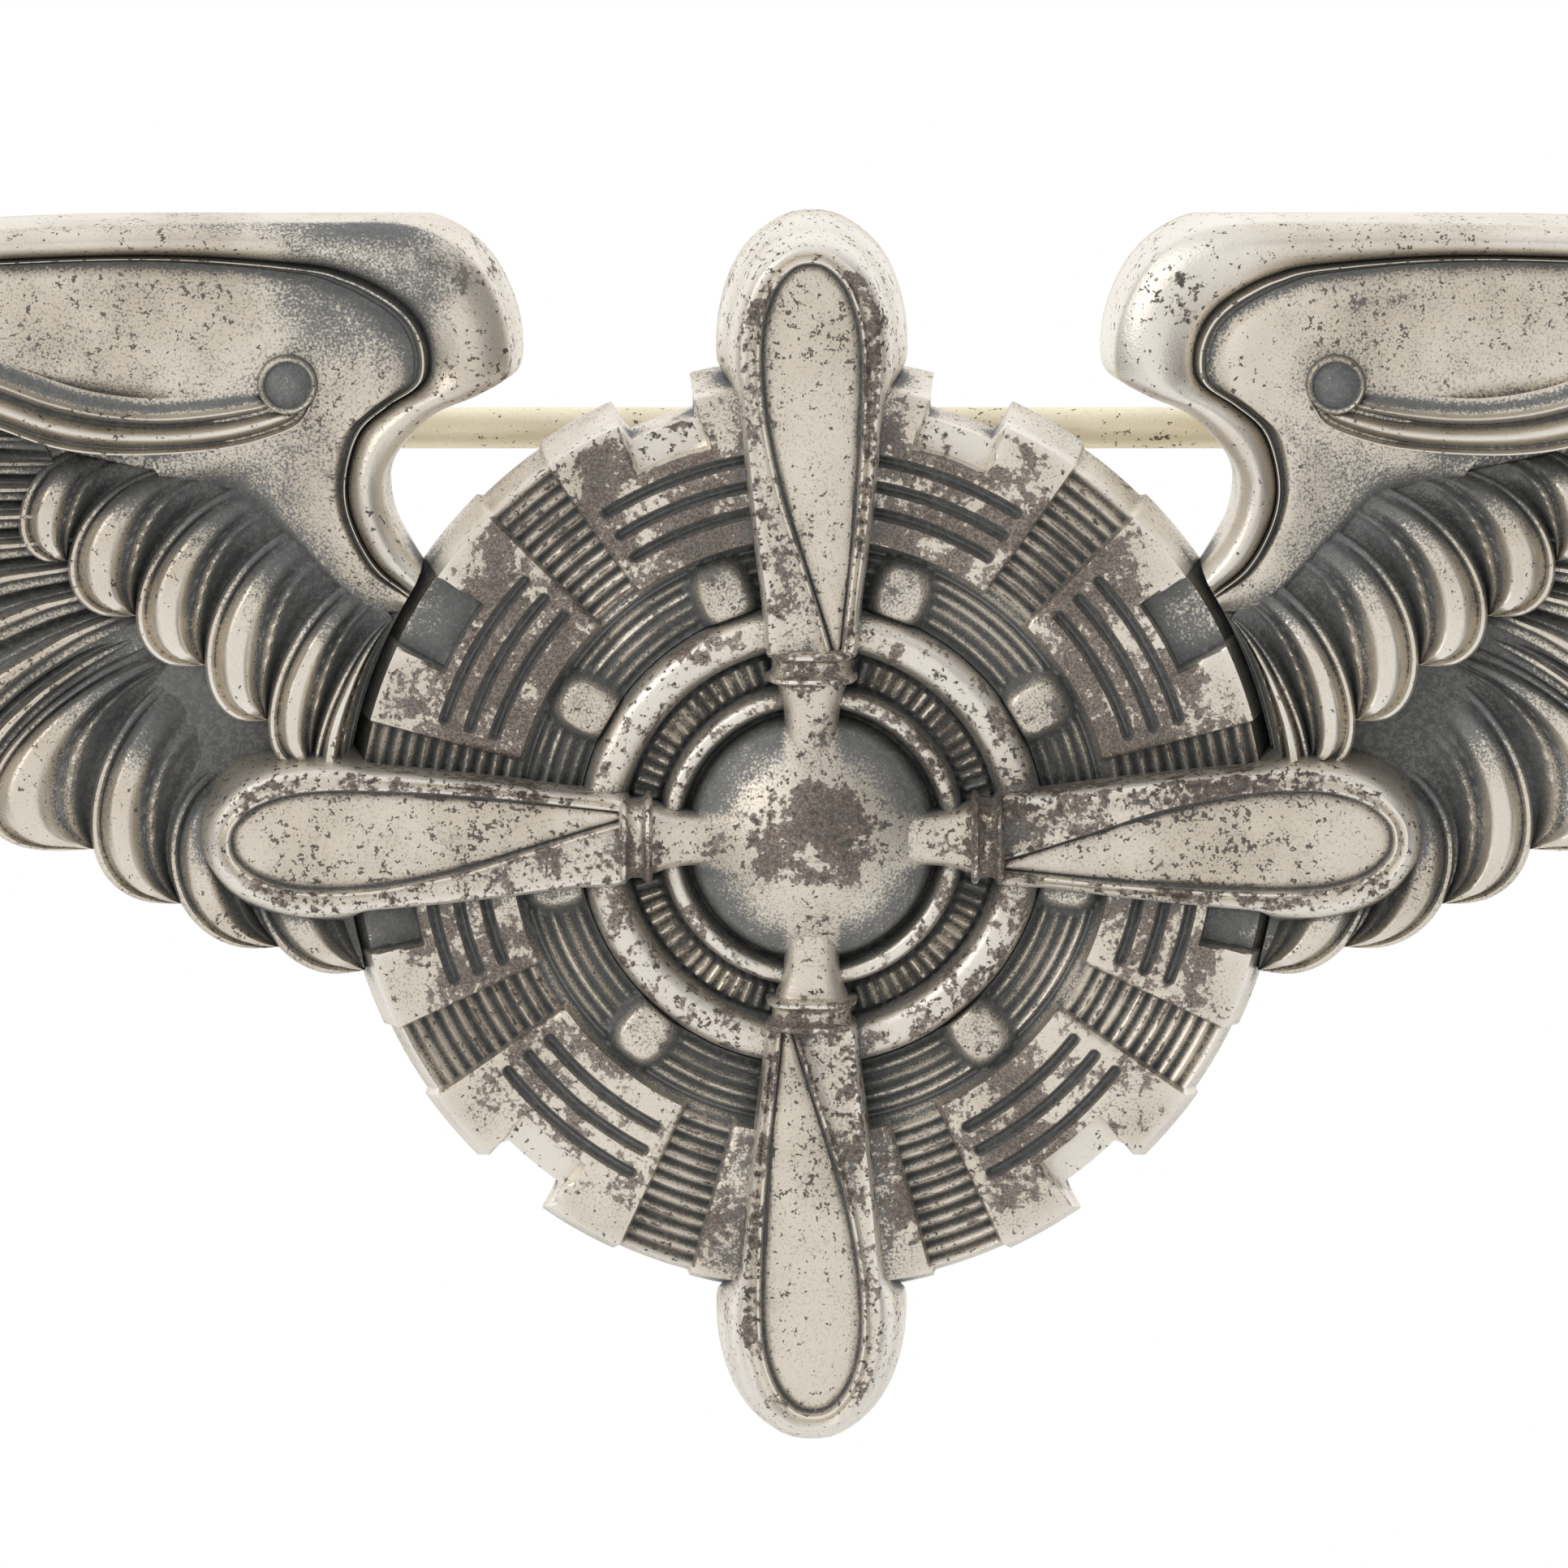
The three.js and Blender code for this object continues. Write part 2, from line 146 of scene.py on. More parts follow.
# A ring of polar cells, closed at the flat back. Angles run clockwise from the top, in degrees.
def annulus(bm, angles, radii, heightAt, radiusAt=None, shadeAt=None):
    shadeLayer(bm)
    turn = np.radians(np.r_[angles, angles[0] + 360])
    theta, r = np.meshgrid(np.degrees(turn), radii)
    h = heightAt(theta % 360, r)
    shade = shadeAt(theta % 360, r) if shadeAt else 0.0
    r = radiusAt(theta % 360, r) if radiusAt else r
    x, y = r * np.sin(np.radians(theta)), r * np.cos(np.radians(theta))
    made = bmesh.ops.create_grid(bm, x_segments=len(turn) - 1, y_segments=len(radii) - 1, size=0.5)["verts"]
    layOn(bm, made, x, y, h, shade)
    bmesh.ops.remove_doubles(bm, verts=made, dist=1e-7)
    rims = [e for e in bm.edges if e.is_boundary]
    skirt = bmesh.ops.extrude_edge_only(bm, edges=rims)["geom"]
    for vert in vertsOf(skirt):
        vert.co.y = 0
    bmesh.ops.bridge_loops(bm, edges=edgesOf(skirt))


# Closed loops of places, each joined to the next, with a cap on the first and the last.
def loopStack(bm, loops, shades=None):
    layer = shadeLayer(bm)
    shades = shades or [0.0] * len(loops)
    old = bmesh.ops.create_circle(bm, cap_ends=True, segments=len(loops[0]), radius=1)["verts"]
    for vert, co in zip(old, loops[0].tolist()):
        vert.co = co
        vert[layer] = shades[0]
    edges = list({e for v in old for e in v.link_edges})
    for loop, darker in zip(loops[1:], shades[1:]):
        rank = {v: i for i, v in enumerate(old)}
        made = bmesh.ops.extrude_edge_only(bm, edges=edges)["geom"]
        edges = edgesOf(made)
        fresh = [None] * len(old)
        for vert in vertsOf(made):
            below = next(e.other_vert(vert) for e in vert.link_edges if e.other_vert(vert) in rank)
            fresh[rank[below]] = vert
        for vert, co in zip(fresh, loop.tolist()):
            vert.co = co
            vert[layer] = darker
        old = fresh
    bmesh.ops.contextual_create(bm, geom=edges)


# A profile of radius and height pairs from axis to axis, turned about an axis square to the back.
def spinProfile(bm, profile, steps, centre=(0, 0), shades=None):
    layer = shadeLayer(bm)
    cx, cy = centre
    verts = [bm.verts.new(Vector((cx + r, -h, cy)) * mm) for r, h in profile]
    for vert, darker in zip(verts, shades or []):
        vert[layer] = darker
    edges = [bm.edges.new(pair) for pair in zip(verts, verts[1:])]
    bmesh.ops.spin(bm, geom=verts + edges, cent=Vector((cx, 0, cy)) * mm, axis=(0, 1, 0), angle=math.tau,
                   steps=steps, use_merge=True)
    poles = [v for v in bm.verts if math.hypot(v.co.x - cx * mm, v.co.z - cy * mm) < 1e-8]
    bmesh.ops.remove_doubles(bm, verts=poles, dist=1e-7)


def offset(loop, by):
    along = np.roll(loop, -1, 0) - np.roll(loop, 1, 0)
    side = np.stack([along[:, 1], -along[:, 0]], 1) / np.linalg.norm(along, axis=1)[:, None]
    area = np.sum(loop[:, 0] * np.roll(loop[:, 1], -1) - np.roll(loop[:, 0], -1) * loop[:, 1])
    return loop + side * np.broadcast_to(by, len(loop))[:, None] * np.sign(area)


pieces = []


def finishPiece(name, bm, body, slotName, *nodes, tarnish, unevenness=0.012):
    bmesh.ops.remove_doubles(bm, verts=bm.verts, dist=2e-7)
    bmesh.ops.dissolve_degenerate(bm, dist=1e-7, edges=bm.edges)
    bmesh.ops.recalc_face_normals(bm, faces=bm.faces)
    for vert in bm.verts:  # a struck piece is nowhere quite even
        if vert.co.y < -0.5 * mm:
            vert.co.y += unevenness * mm * noise.noise(vert.co * 600)
    mesh = bpy.data.meshes.new(name)
    bm.to_mesh(mesh)
    bm.free()
    mesh.shade_smooth()
    mesh.set_sharp_from_angle(angle=math.radians(50))
    obj = bpy.data.objects.new(name, mesh)
    bpy.context.scene.collection.objects.link(obj)
    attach(obj, body)
    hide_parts(*nodes)
    pieces.append((obj, tarnish))
    print("made", name, len(mesh.polygons), "faces")


# The engine disc: nine cylinders round two rings.
engine = {
    "faceInset": 0.35, "ground": 1.3,
    "heads": 9, "headHalf": 15.5, "headInner": 6.45, "headHeight": 1.74, "headProud": 1.12,
    "slots": (7.2, 7.77, 8.34), "slotHalf": 12.0, "slotWidth": 0.21, "slotDepth": 0.26,
    "notchFrom": 8.72, "notchHalf": 0.84, "notchIn": 1.3, "notchOut": 0.3, "notchCut": 0.36, "cutFrom": 9.2,
    "finPitch": 0.31, "finHeight": 0.2, "innerFinPitch": 0.28,
    "knobAt": 5.62, "knobAcross": 0.72, "knobAlong": 0.8, "knobHeight": 0.52,
    "split": 5.08,
    "outerRing": (4.56, 0.49, 2.02), "innerRing": (3.07, 0.26, 1.98), "arcHalf": 32.5,
    "toothPitch": 4.3, "toothFrom": 3.4, "toothTo": 4.02,
}
faceRadius = discRadius - engine["faceInset"]


# About a cylinder: the angle from its middle, the distance along that, and whether it is the plain one.
def aboutCylinder(theta, r):
    pitch = 360 / engine["heads"]
    local = (theta % pitch) - pitch / 2
    return local, np.radians(local) * r, np.floor(theta / pitch) == engine["heads"] // 2


def notchShare(arc, r, plain):
    e = engine
    share = ease(-0.03, 0.05, e["notchHalf"] - np.abs(arc)) * ease(-0.03, 0.05, r - e["notchFrom"])
    return np.where(plain, 0, share)


def clearOfWings(theta):
    return np.abs(np.sin(np.radians(theta))) < 0.75


def slotShare(local, r, plain):
    e = engine
    share = np.zeros_like(r)
    for slotRadius in e["slots"]:
        beyond = np.radians(np.maximum(np.abs(local) - e["slotHalf"], 0)) * r
        away = np.hypot(r - slotRadius, beyond)
        share = np.maximum(share, 1 - ease(e["slotWidth"] * 0.2, e["slotWidth"] * 0.72, away))
    return np.where(plain, 0, share)


def knobDistance(arc, r):
    e = engine
    across, along = np.abs(arc / e["knobAcross"]), np.abs((r - e["knobAt"]) / e["knobAlong"])
    return (across ** 2.8 + along ** 2.8) ** (1 / 2.8)


def cylinderShade(theta, r):
    e = engine
    local, arc, plain = aboutCylinder(theta, np.minimum(r, faceRadius))
    inNotch = notchShare(arc, np.minimum(r, faceRadius), plain) > 0.02
    onHead = (np.abs(local) < e["headHalf"]) & (r > e["headInner"])
    finAt = np.where(r > e["headInner"], (r - faceRadius) / e["finPitch"], r / e["innerFinPitch"])
    trough = 0.5 - 0.5 * np.cos(2 * np.pi * finAt)
    betweenHeads = 0.42 * trough - np.where(r > e["headInner"], 0.18, 0.08)
    shade = np.where(onHead, 0.55 * slotShare(local, r, plain), betweenHeads)
    toKnob = knobDistance(arc, r)
    shade = np.where(~plain & (toKnob < 1.05), 0.12 + 0.4 * ease(0.6, 1.05, toKnob), shade)
    # Notches clear of the wings are painted lighter: a painted highlight on their ramps.
    shade = np.where(inNotch, np.where(clearOfWings(theta), -0.9, 0.3), shade)
    # The disc's outer wall is painted lighter: a painted reflection of the white behind the badge.
    return np.where(r > faceRadius + 0.02, -0.3, shade)


def cylinderHeight(theta, r):
    e = engine
    local, arc, plain = aboutCylinder(theta, r)
    ground = e["ground"]
    onFin = 0.5 + 0.5 * np.cos(2 * np.pi * (r - faceRadius) / e["finPitch"])
    outerFins = ground + e["finHeight"] * onFin ** 0.8
    innerFins = ground - 0.05 + 0.16 * (0.5 + 0.5 * np.cos(2 * np.pi * r / e["innerFinPitch"]))
    h = np.where(r > e["headInner"] + 0.05, outerFins + 0.06, innerFins)
    fromSide = np.radians(e["headHalf"] - np.abs(local)) * r
    fromEdge = np.minimum(fromSide, r - e["headInner"])
    top = e["headHeight"] + 0.05 * bump(r, 8.0, 2.5)
    top = top - e["slotDepth"] * slotShare(local, r, plain)
    h = h + (top - h) * ease(-0.01, 0.09, fromEdge)
    out = np.clip((r - e["notchFrom"]) / (faceRadius - e["notchFrom"]), 0, 1)
    scoop = 0.12 * (1 - (arc / e["notchHalf"]) ** 2)
    floor = e["notchIn"] + (e["notchOut"] - e["notchIn"]) * out ** 1.3 - scoop
    h = h + (floor - h) * notchShare(arc, r, plain)
    knob = ground - 0.12 + (e["knobHeight"] + 0.12) * ease(1.2, 0.55, knobDistance(arc, r))
    return np.where(plain, h, np.maximum(h, knob))


def cylinderRadius(theta, r):
    e = engine
    local, arc, plain = aboutCylinder(theta, np.minimum(r, faceRadius))
    cutHere = notchShare(arc, np.full_like(r, faceRadius), plain) * clearOfWings(theta)
    onHead = ease(0.0, 0.5, e["headHalf"] - np.abs(local))
    stretch = 1 + (e["headProud"] - 1) * onHead
    stretch = stretch + (e["notchCut"] - stretch) * cutHere
    return np.where(r > e["cutFrom"], e["cutFrom"] + (r - e["cutFrom"]) * stretch, r)


def makeCylinders():
    e = engine
    pitch = 360 / e["heads"]
    notchAngle = math.degrees(e["notchHalf"] / 9.3)
    near = np.r_[np.arange(0, pitch / 2, 0.72), e["headHalf"] + np.array([-0.5, -0.2, 0.05, 0.3]),
                 e["slotHalf"] + np.array([0.3, 0.6, 0.9]), notchAngle + np.array([-0.35, -0.1, 0.15])]
    near = np.unique(np.round(near, 2))
    local = np.unique(np.r_[-near, near])
    angles = np.concatenate([pitch * (i + 0.5) + local for i in range(e["heads"])])
    slotLines = [s + d for s in e["slots"] for d in (-0.14, -0.07, 0, 0.07, 0.14)]
    radii = np.r_[np.arange(e["split"], faceRadius - 0.04, 0.052), slotLines,
                  e["headInner"] + np.array([-0.01, 0.04, 0.09]),
                  e["notchFrom"] + np.array([-0.03, 0.02, 0.05])]
    radii = np.unique(np.round(radii, 3))
    radii = radii[np.r_[True, np.diff(radii) > 0.012]]
    wall = np.array([0.03, 0.1, 0.2, e["faceInset"] - 0.01])

    def height(theta, r):
        h = cylinderHeight(theta, np.minimum(r, faceRadius))
        down = np.clip((r - faceRadius) / (e["faceInset"] - 0.01), 0, 1)
        return h - np.where(down > 0, 0.05 + (h - 0.17) * down, 0)

    bm = bmesh.new()
    annulus(bm, angles, np.r_[radii, faceRadius, faceRadius + wall], height, radiusAt=cylinderRadius,
            shadeAt=cylinderShade)
    finishPiece("engine_cylinders", bm, "badge", "oxidised_silver", "engine_disc", tarnish="heads")


def ringHeight(theta, r):
    e = engine
    fromDiagonal = np.abs((theta % 90) - 45)
    h = e["ground"] - 0.1 + 0.2 * ease(2.9, 2.7, r)
    phase = 0.5 + 0.5 * np.cos(2 * np.pi * theta / e["toothPitch"])
    inTeeth = ease(-0.02, 0.08, r - e["toothFrom"]) * ease(-0.02, 0.08, e["toothTo"] - r)
    h = h + inTeeth * (0.05 + 0.22 * phase ** 0.6)
    for centre, half, top in (e["outerRing"], e["innerRing"]):
        beyond = np.radians(np.maximum(fromDiagonal - e["arcHalf"], 0)) * r
        away = np.hypot(r - centre, beyond) / half
        section = np.sqrt(np.clip(1 - away ** 3.2, 0, 1))
        h = np.maximum(h, e["ground"] - 0.1 + (top - e["ground"] + 0.1) * section)
    return h


def makeRings():
    e = engine
    radii = np.r_[2.1, 2.4, np.arange(2.6, e["split"] + 0.001, 0.045)]
    bm = bmesh.new()
    annulus(bm, np.arange(0, 360, 0.6), np.unique(np.r_[radii, e["split"]]), ringHeight)
    layer = shadeLayer(bm)
    for vert in bm.verts:
        if e["toothFrom"] < math.hypot(vert.co.x, vert.co.z) / mm < e["toothTo"]:
            vert[layer] = -0.22
    spinProfile(bm, [(0, 1.3), (2.12, 1.3), (2.12, 0.01), (0, 0.01)], 96)  # behind the hub
    finishPiece("engine_rings", bm, "badge", "oxidised_silver", "engine_disc", tarnish="rings")


# The propeller: four like quarters round a hub.
blade = {
    "foot": 1.47, "face": 2.44, "wall": 0.1, "flare": 0.45, "flareFrom": (9.5, 10.3),
    "outline": [(0, 4.0), (0.86, 4.03), (1.0, 5.2), (1.2, 6.7), (1.4, 8.6), (1.52, 10.3), (1.44, 11.35),
                (1.1, 12.25), (0.5, 12.8), (0, 12.92)],
    "cell": [(0.58, 3.95), (0.71, 5.0), (0.93, 7.1), (1.06, 9.3), (1.04, 10.9), (0.78, 11.9), (0.36, 12.42),
             (-0.04, 12.54), (-0.44, 12.4), (-0.84, 11.85), (-1.06, 10.9), (-1.0, 9.4), (-0.66, 7.65),
             (-0.2, 6.2), (0.25, 4.8), (0.48, 4.05)],
    "count": 140,
}
hub = {"radius": 2.5, "edge": 2.12, "top": 3.0}
collar = {  # distance out from its middle, half its width, height
    "at": 3.8, "foot": 1.47, "square": 3.4,
    "along": (-0.36, -0.34, -0.29, -0.22, -0.17, -0.09, 0.09, 0.17, 0.22, 0.29, 0.34, 0.36),
    "half": (0.82, 0.95, 1.0, 0.98, 0.9, 0.86, 0.86, 0.9, 0.98, 1.0, 0.95, 0.82),
    "top": (2.6, 2.82, 2.93, 2.92, 2.74, 2.66, 2.66, 2.74, 2.92, 2.93, 2.82, 2.6),
    "shade": (0.5, 0.1, 0, 0, 0.5, 0.15, 0.15, 0.5, 0, 0, 0.1, 0.5),
}
shank = {
    "foot": 1.47, "square": 3.6, "along": (1.5, 1.9, 2.1, 2.3, 2.6, 2.9, 3.15, 3.4, 3.8),
    "half": (0.6, 0.6, 0.6, 0.6, 0.6, 0.62, 0.68, 0.78, 0.84),
    "top": (2.4, 2.4, 2.41, 2.42, 2.42, 2.42, 2.43, 2.44, 2.44),
}


def bladeLoops():
    b = blade
    half = b["outline"]
    mirrored = [(-x, y) for x, y in half[-2:0:-1]]
    rim = smoothLine(half + mirrored, closed=True, n=b["count"] + 1)[:-1]
    cell = smoothLine(b["cell"], closed=True, n=b["count"] + 1)[:-1]
    spine = np.stack([np.interp(cell[:, 1], [4.3, 5.5, 7.5, 9.5, 12], [0.56, 0.4, 0.2, 0.05, 0]),
                      np.clip(cell[:, 1], 4.3, 11.6)], 1)
    face, foot = b["face"], b["foot"]
    out = ease(*b["flareFrom"], rim[:, 1])  # past the disc the walls run down to the flat back
    # Each layer: its loop, its height, and how much darker it is painted. The walls' negative values paint
    # them lighter, a painted reflection of the white behind the badge.
    layers = [
        (offset(rim, b["wall"] + b["flare"] * out), foot - (foot - 0.02) * out, -0.5),
        (offset(rim, 0.09 + 0.38 * out), foot + 0.3 - 0.95 * out, -0.5),
        (offset(rim, 0.07 + 0.24 * out), foot + 0.55 - 0.6 * out, -0.4),
        (offset(rim, 0.05 + 0.12 * out), face - 0.22 - 0.1 * out, -0.2),
        (offset(rim, 0.02 + 0.03 * out), face - 0.08, 0),
        (offset(rim, -0.04), face - 0.01, -0.1),
        (offset(rim, -0.1) * 0.7 + offset(cell, 0.24) * 0.3, face - 0.03, 0.1),
        (offset(rim, -0.12) * 0.3 + offset(cell, 0.19) * 0.7, face - 0.06, 0.25),
        (offset(cell, 0.16), face - 0.02, 0.1),
        (offset(cell, 0.11), face + 0.05, -0.1),
        (offset(cell, 0.065), face + 0.045, 0),
        (offset(cell, 0.04), face - 0.04, 0.15),
        (offset(cell, 0.015), face - 0.16, 0.7),
        (offset(cell, -0.02), face - 0.22, 0.65),
        (offset(cell, -0.06), face - 0.2, 0.2),
        (cell * 0.9 + spine * 0.1, face - 0.17, 0.1),
        (cell * 0.8 + spine * 0.2, face - 0.15, 0.05),
        (cell * 0.7 + spine * 0.3, face - 0.14, 0),
        (cell * 0.45 + spine * 0.55, face - 0.12, 0),
        (cell * 0.2 + spine * 0.8, face - 0.11, 0),
    ]
    return [place(loop[:, 0], loop[:, 1], h) for loop, h, _ in layers], [shade for *_, shade in layers]


# Rounded arches standing side by side along y, each with its own half width and height.
def archLoops(part, at=0.0, count=30):
    turn = np.linspace(0, np.pi, count)
    across = np.sign(-np.cos(turn)) * np.abs(np.cos(turn)) ** (2 / part["square"])
    up = np.sin(turn) ** (2 / part["square"])
    foot = part["foot"]
    return [place(half * across, at + along, foot + (top - foot) * up)
            for along, half, top in zip(part["along"], part["half"], part["top"])]


def makePropeller():
    bm = bmesh.new()
    loops, shades = bladeLoops()
    loopStack(bm, loops, shades=shades)
    loopStack(bm, archLoops(collar, collar["at"]), shades=collar["shade"])
    loopStack(bm, archLoops(shank))
    first = [*bm.verts, *bm.edges, *bm.faces]
    for k in (1, 2, 3):
        copy = bmesh.ops.duplicate(bm, geom=first)["geom"]
        quarter = Matrix.Rotation(math.pi / 2 * k, 3, "Y")
        bmesh.ops.rotate(bm, verts=vertsOf(copy), cent=(0, 0, 0), matrix=quarter)
    rise = hub["top"] - hub["edge"]
    ball = (hub["radius"] ** 2 + rise ** 2) / (2 * rise)
    profile = [(0, hub["top"])]
    for i in range(1, 25):
        r = hub["radius"] * i / 24
        profile.append((r, hub["top"] - ball + math.sqrt(ball ** 2 - r ** 2)))
    r, h = profile[-1]
    profile += [(r + 0.06, h - 0.1), (r + 0.13, h - 0.3), (r + 0.22, blade["foot"]), (0, blade["foot"])]
    spinProfile(bm, profile, 128)
    finishPiece("propeller_relief", bm, "badge", "sterling_silver", "propeller", tarnish="propeller")


# Pairs of places along the leading edge: on the outline, and where its crest meets the smooth arm.
edgeStations = [
    ((8.44, 5.8), (8.72, 5.22)), ((8.75, 6.25), (9.45, 5.78)), ((9.05, 6.8), (9.93, 6.55)),
    ((9.2, 7.4), (10.17, 7.35)), ((9.16, 8.0), (10.12, 8.15)), ((8.77, 8.6), (9.85, 8.93)),
    ((8.07, 9.22), (9.25, 9.45)), ((7.15, 9.62), (8.75, 9.8)), ((6.55, 10.05), (8.6, 10.12)),
    ((6.5, 10.9), (8.62, 10.62)), ((6.74, 11.75), (8.82, 11.08)), ((7.2, 12.5), (9.15, 11.42)),
    ((7.9, 13.05), (9.62, 11.72)), ((8.77, 13.33), (10.2, 12.0)), ((10.1, 13.38), (11.1, 12.25)),
    ((13.6, 13.34), (13.9, 12.5)), ((17.5, 13.22), (17.5, 12.42)), ((24.0, 12.85), (24.0, 12.05)),
    ((31.6, 11.95), (31.2, 11.15)), ((36.4, 10.75), (35.4, 10.15)), ((37.95, 9.6), (37.0, 9.4)),
]
# Where the smooth arm and neck end, under the feathers and the scroll, one place for each station.
armFoot = [
    (8.98, 4.7), (9.6, 4.6), (10.4, 5.2), (11.2, 5.9), (11.9, 6.5), (12.6, 7.0), (13.2, 7.3), (13.7, 7.5),
    (14.0, 7.7), (14.2, 7.95), (14.4, 8.2), (14.5, 8.4), (14.6, 8.55), (14.8, 8.75), (15.0, 8.9), (16.2, 9.1),
    (17.9, 9.4), (23.5, 10.2), (30.6, 10.6), (34.8, 9.9), (36.8, 9.38),
]
scroll = {
    "top": [(11.5, 9.74), (12.4, 9.68), (13.16, 9.62), (14.4, 9.56), (15.58, 9.72), (16.6, 10.04),
            (17.54, 10.42), (20.3, 11.45), (23.2, 12.02), (26.5, 12.0)],
    "foot": [(10.72, 9.5), (11.0, 9.0), (11.75, 8.66), (12.6, 8.45), (13.9, 8.32), (15.2, 8.3), (16.37, 8.46),
             (17.54, 8.86), (20.6, 9.95), (23.6, 11.05), (26.7, 11.85)],
    "ball": (11.3, 9.87), "ballRadius": 0.66,
}
coverts = {
    # root, how far the outline swells beyond root and tip, and where it meets the next one
    "feathers": [((16.1, 8.3), 1.3, 1.5, 0.5), ((14.3, 7.9), 2.2, 2.1, 0.58),
                 ((12.2, 7.65), 2.75, 2.35, 0.57), ((11.15, 6.7), 2.4, 2.0, 0.6),
                 ((9.85, 5.6), 1.95, 1.7, 0.62), ((9.1, 4.75), 1.5, 1.3, 1.0)],
    "last": [(9.05, 4.65), (9.55, 3.6), (9.9, 2.4), (10.1, 1.3), (10.17, 0.6)],
    "floor": 0.4, "level": 1.34, "step": 0.05, "rim": 0.24, "ridge": 0.42, "second": 0.24, "valley": 0.36,
    "rootDark": 0.7,
}
lesserCoverts = {"count": 6, "from": (17.6, 8.7), "to": (26.4, 11.7), "length": 2.1, "floor": 0.4,
                 "level": 1.44, "rim": 0.16, "ridge": 0.2, "second": 0.12, "valley": 0.2, "rootDark": 0.55}
secondaries = {
    # root, the curve's two control places, and where it meets the next one
    "feathers": [((13.9, 4.2), (17.6, 3.0), (19.9, -0.8), 0.62),
                 ((13.84, 3.4), (15.9, 2.2), (16.6, -1.75), 0.62),
                 ((12.6, 1.5), (14.7, 0.9), (14.3, -2.95), 0.64),
                 ((11.6, 0.4), (12.8, -0.6), (11.9, -3.6), 0.97)],
    "last": [(10.2, 0.9), (10.2, -0.6), (9.98, -2.1), (9.66, -3.16)],
    "floor": 0.3, "level": 1.14, "step": -0.05, "rim": 0.24, "ridge": 0.4, "second": 0.2, "valley": 0.36,
    "rootDark": 0.85,
}
primaries = {"count": 9, "roots": ((14.2, 4.1), (16.8, 8.9)), "meets": 0.86, "floor": 0.3, "level": 1.04,
             "step": 0.05, "rim": 0.08, "ridge": 0.3, "second": 0.04, "valley": 0.26, "rootDark": 0.25}


# One feather between its own outer edge and the next feather's, which it meets at a share of that.
def feather(bm, edge, nextEdge, meets, f, level, rise=0.3, columns=48):
    u = np.linspace(0, 0.7, int(columns * 0.6), endpoint=False)
    u = np.r_[u, np.linspace(0.7, 1, int(columns * 0.4))]
    q = np.r_[0, 0.025, 0.05, 0.08, 0.11, 0.14, 0.17, 0.2, np.linspace(0.235, 1, 24)]
    a, b = pick(edge, u), pick(nextEdge, u * meets)
    width = np.linalg.norm(b - a, axis=1)
    for end, inside in ((0, 2), (-1, -3)):  # it never quite closes to a line
        if width[end] < 0.02:
            b[end] = a[end] + (b[inside] - a[inside]) * 0.02 / width[inside]
            width[end] = 0.02
    rimShare = np.clip(0.26 / width, 0.06, 0.34)[None, :]
    q2 = q[:, None]
    v = np.where(q2 < 0.2, q2 / 0.2 * rimShare, rimShare + (q2 - 0.2) / 0.8 * (1 - rimShare))
    x = a[None, :, 0] + (b - a)[None, :, 0] * v
    y = a[None, :, 1] + (b - a)[None, :, 1] * v
    grown = ease(-0.05, rise, u)[None, :]
    atTip = ease(1.0, 0.84, u)[None, :]
    relief = grown * (0.3 + 0.7 * atTip)
    crownHalf = 0.17 + 0.1 * ease(0, 0.7, u)[None, :]
    crown = 0.17 + crownHalf
    h = level - 0.34 * (1 - grown) + 0 * q2
    h = h + f["rim"] * relief * (ease(-0.04, 0.05, q2) - 0.55 * ease(0.11, 0.17, q2))
    h = h + f["ridge"] * relief * ease(crown - crownHalf, crown - crownHalf * 0.4, q2) * ease(
        crown + crownHalf, crown + crownHalf * 0.35, q2)
    second = crown + crownHalf + 0.09
    h = h + f["second"] * relief * bump(q2, second, 0.085)
    h = h - f["valley"] * grown * (0.25 + 0.75 * atTip) * ease(second, 0.97, q2)
    h = h - 0.14 * (1 - atTip)
    shade = 0.3 * bump(q2, crown + crownHalf, 0.08) + 0.3 * bump(q2, 0.17, 0.03)
    shade = shade + 0.38 * ease(second - 0.1, 0.8, q2)
    shade = relief * shade + f["rootDark"] * ease(0.5, 0.08, u)[None, :]
    patch(bm, x, y, h, f["floor"], shade)


def rowOfEdges(shapes, last):
    edges = [smoothLine(last)]
    for shape in reversed(shapes):
        edges.insert(0, shape(edges[0]))
    return edges


def covertEdge(root, swellRoot, swellTip, meets):
    def shape(nextEdge):
        end = pick(nextEdge, meets)
        drop = root[1] - end[1]
        first = (root[0] + swellRoot, root[1] - 0.22 * drop)
        return bezier(root, first, (end[0] + swellTip, end[1] - 0.1 * drop), end)
    return shape


def secondaryEdge(root, first, second, meets):
    return lambda nextEdge: bezier(root, first, second, pick(nextEdge, meets))


def trailingPoint(x):
    return np.array([x, -3.1 + 0.447 * (x - 9.8)])


def primaryEdges():
    p = primaries
    n = p["count"]
    (x0, y0), (x1, y1) = p["roots"]
    highest = [(17.0, 9.2), (22, 10.5), (28, 10.9), (33, 10.6), (36.5, 9.95), (wingTipX - 0.4, 9.62)]
    edges = [smoothLine(highest)]
    for j in range(n, 0, -1):  # from the wing tip inwards
        root = np.array([x0 + (x1 - x0) * j / n, y0 + (y1 - y0) * j / n])
        tip = trailingPoint(17.6 + 1.74 * j + 0.058 * j * j)
        tip[0] = min(tip[0], wingTipX - 0.2)
        end = pick(edges[0], p["meets"] if j < n else 1.0)
        way = tip - root
        points = [root, root + way * 0.3 + (0, 0.32), root + way * 0.62 + (0, 0.26), tip + (-0.95, 0.26), tip,
                  tip * 0.55 + end * 0.45 + (0.3, -0.02), end]
        edges.insert(0, smoothLine(points))
    return edges


# A line through all the places, and how far along it each of them lies.
def through(places, n=500):
    line = smoothLine(places, n=n)
    at = [np.argmin(np.hypot(*(line - p).T)) / (n - 1) for p in places]
    return line, np.maximum.accumulate(at)


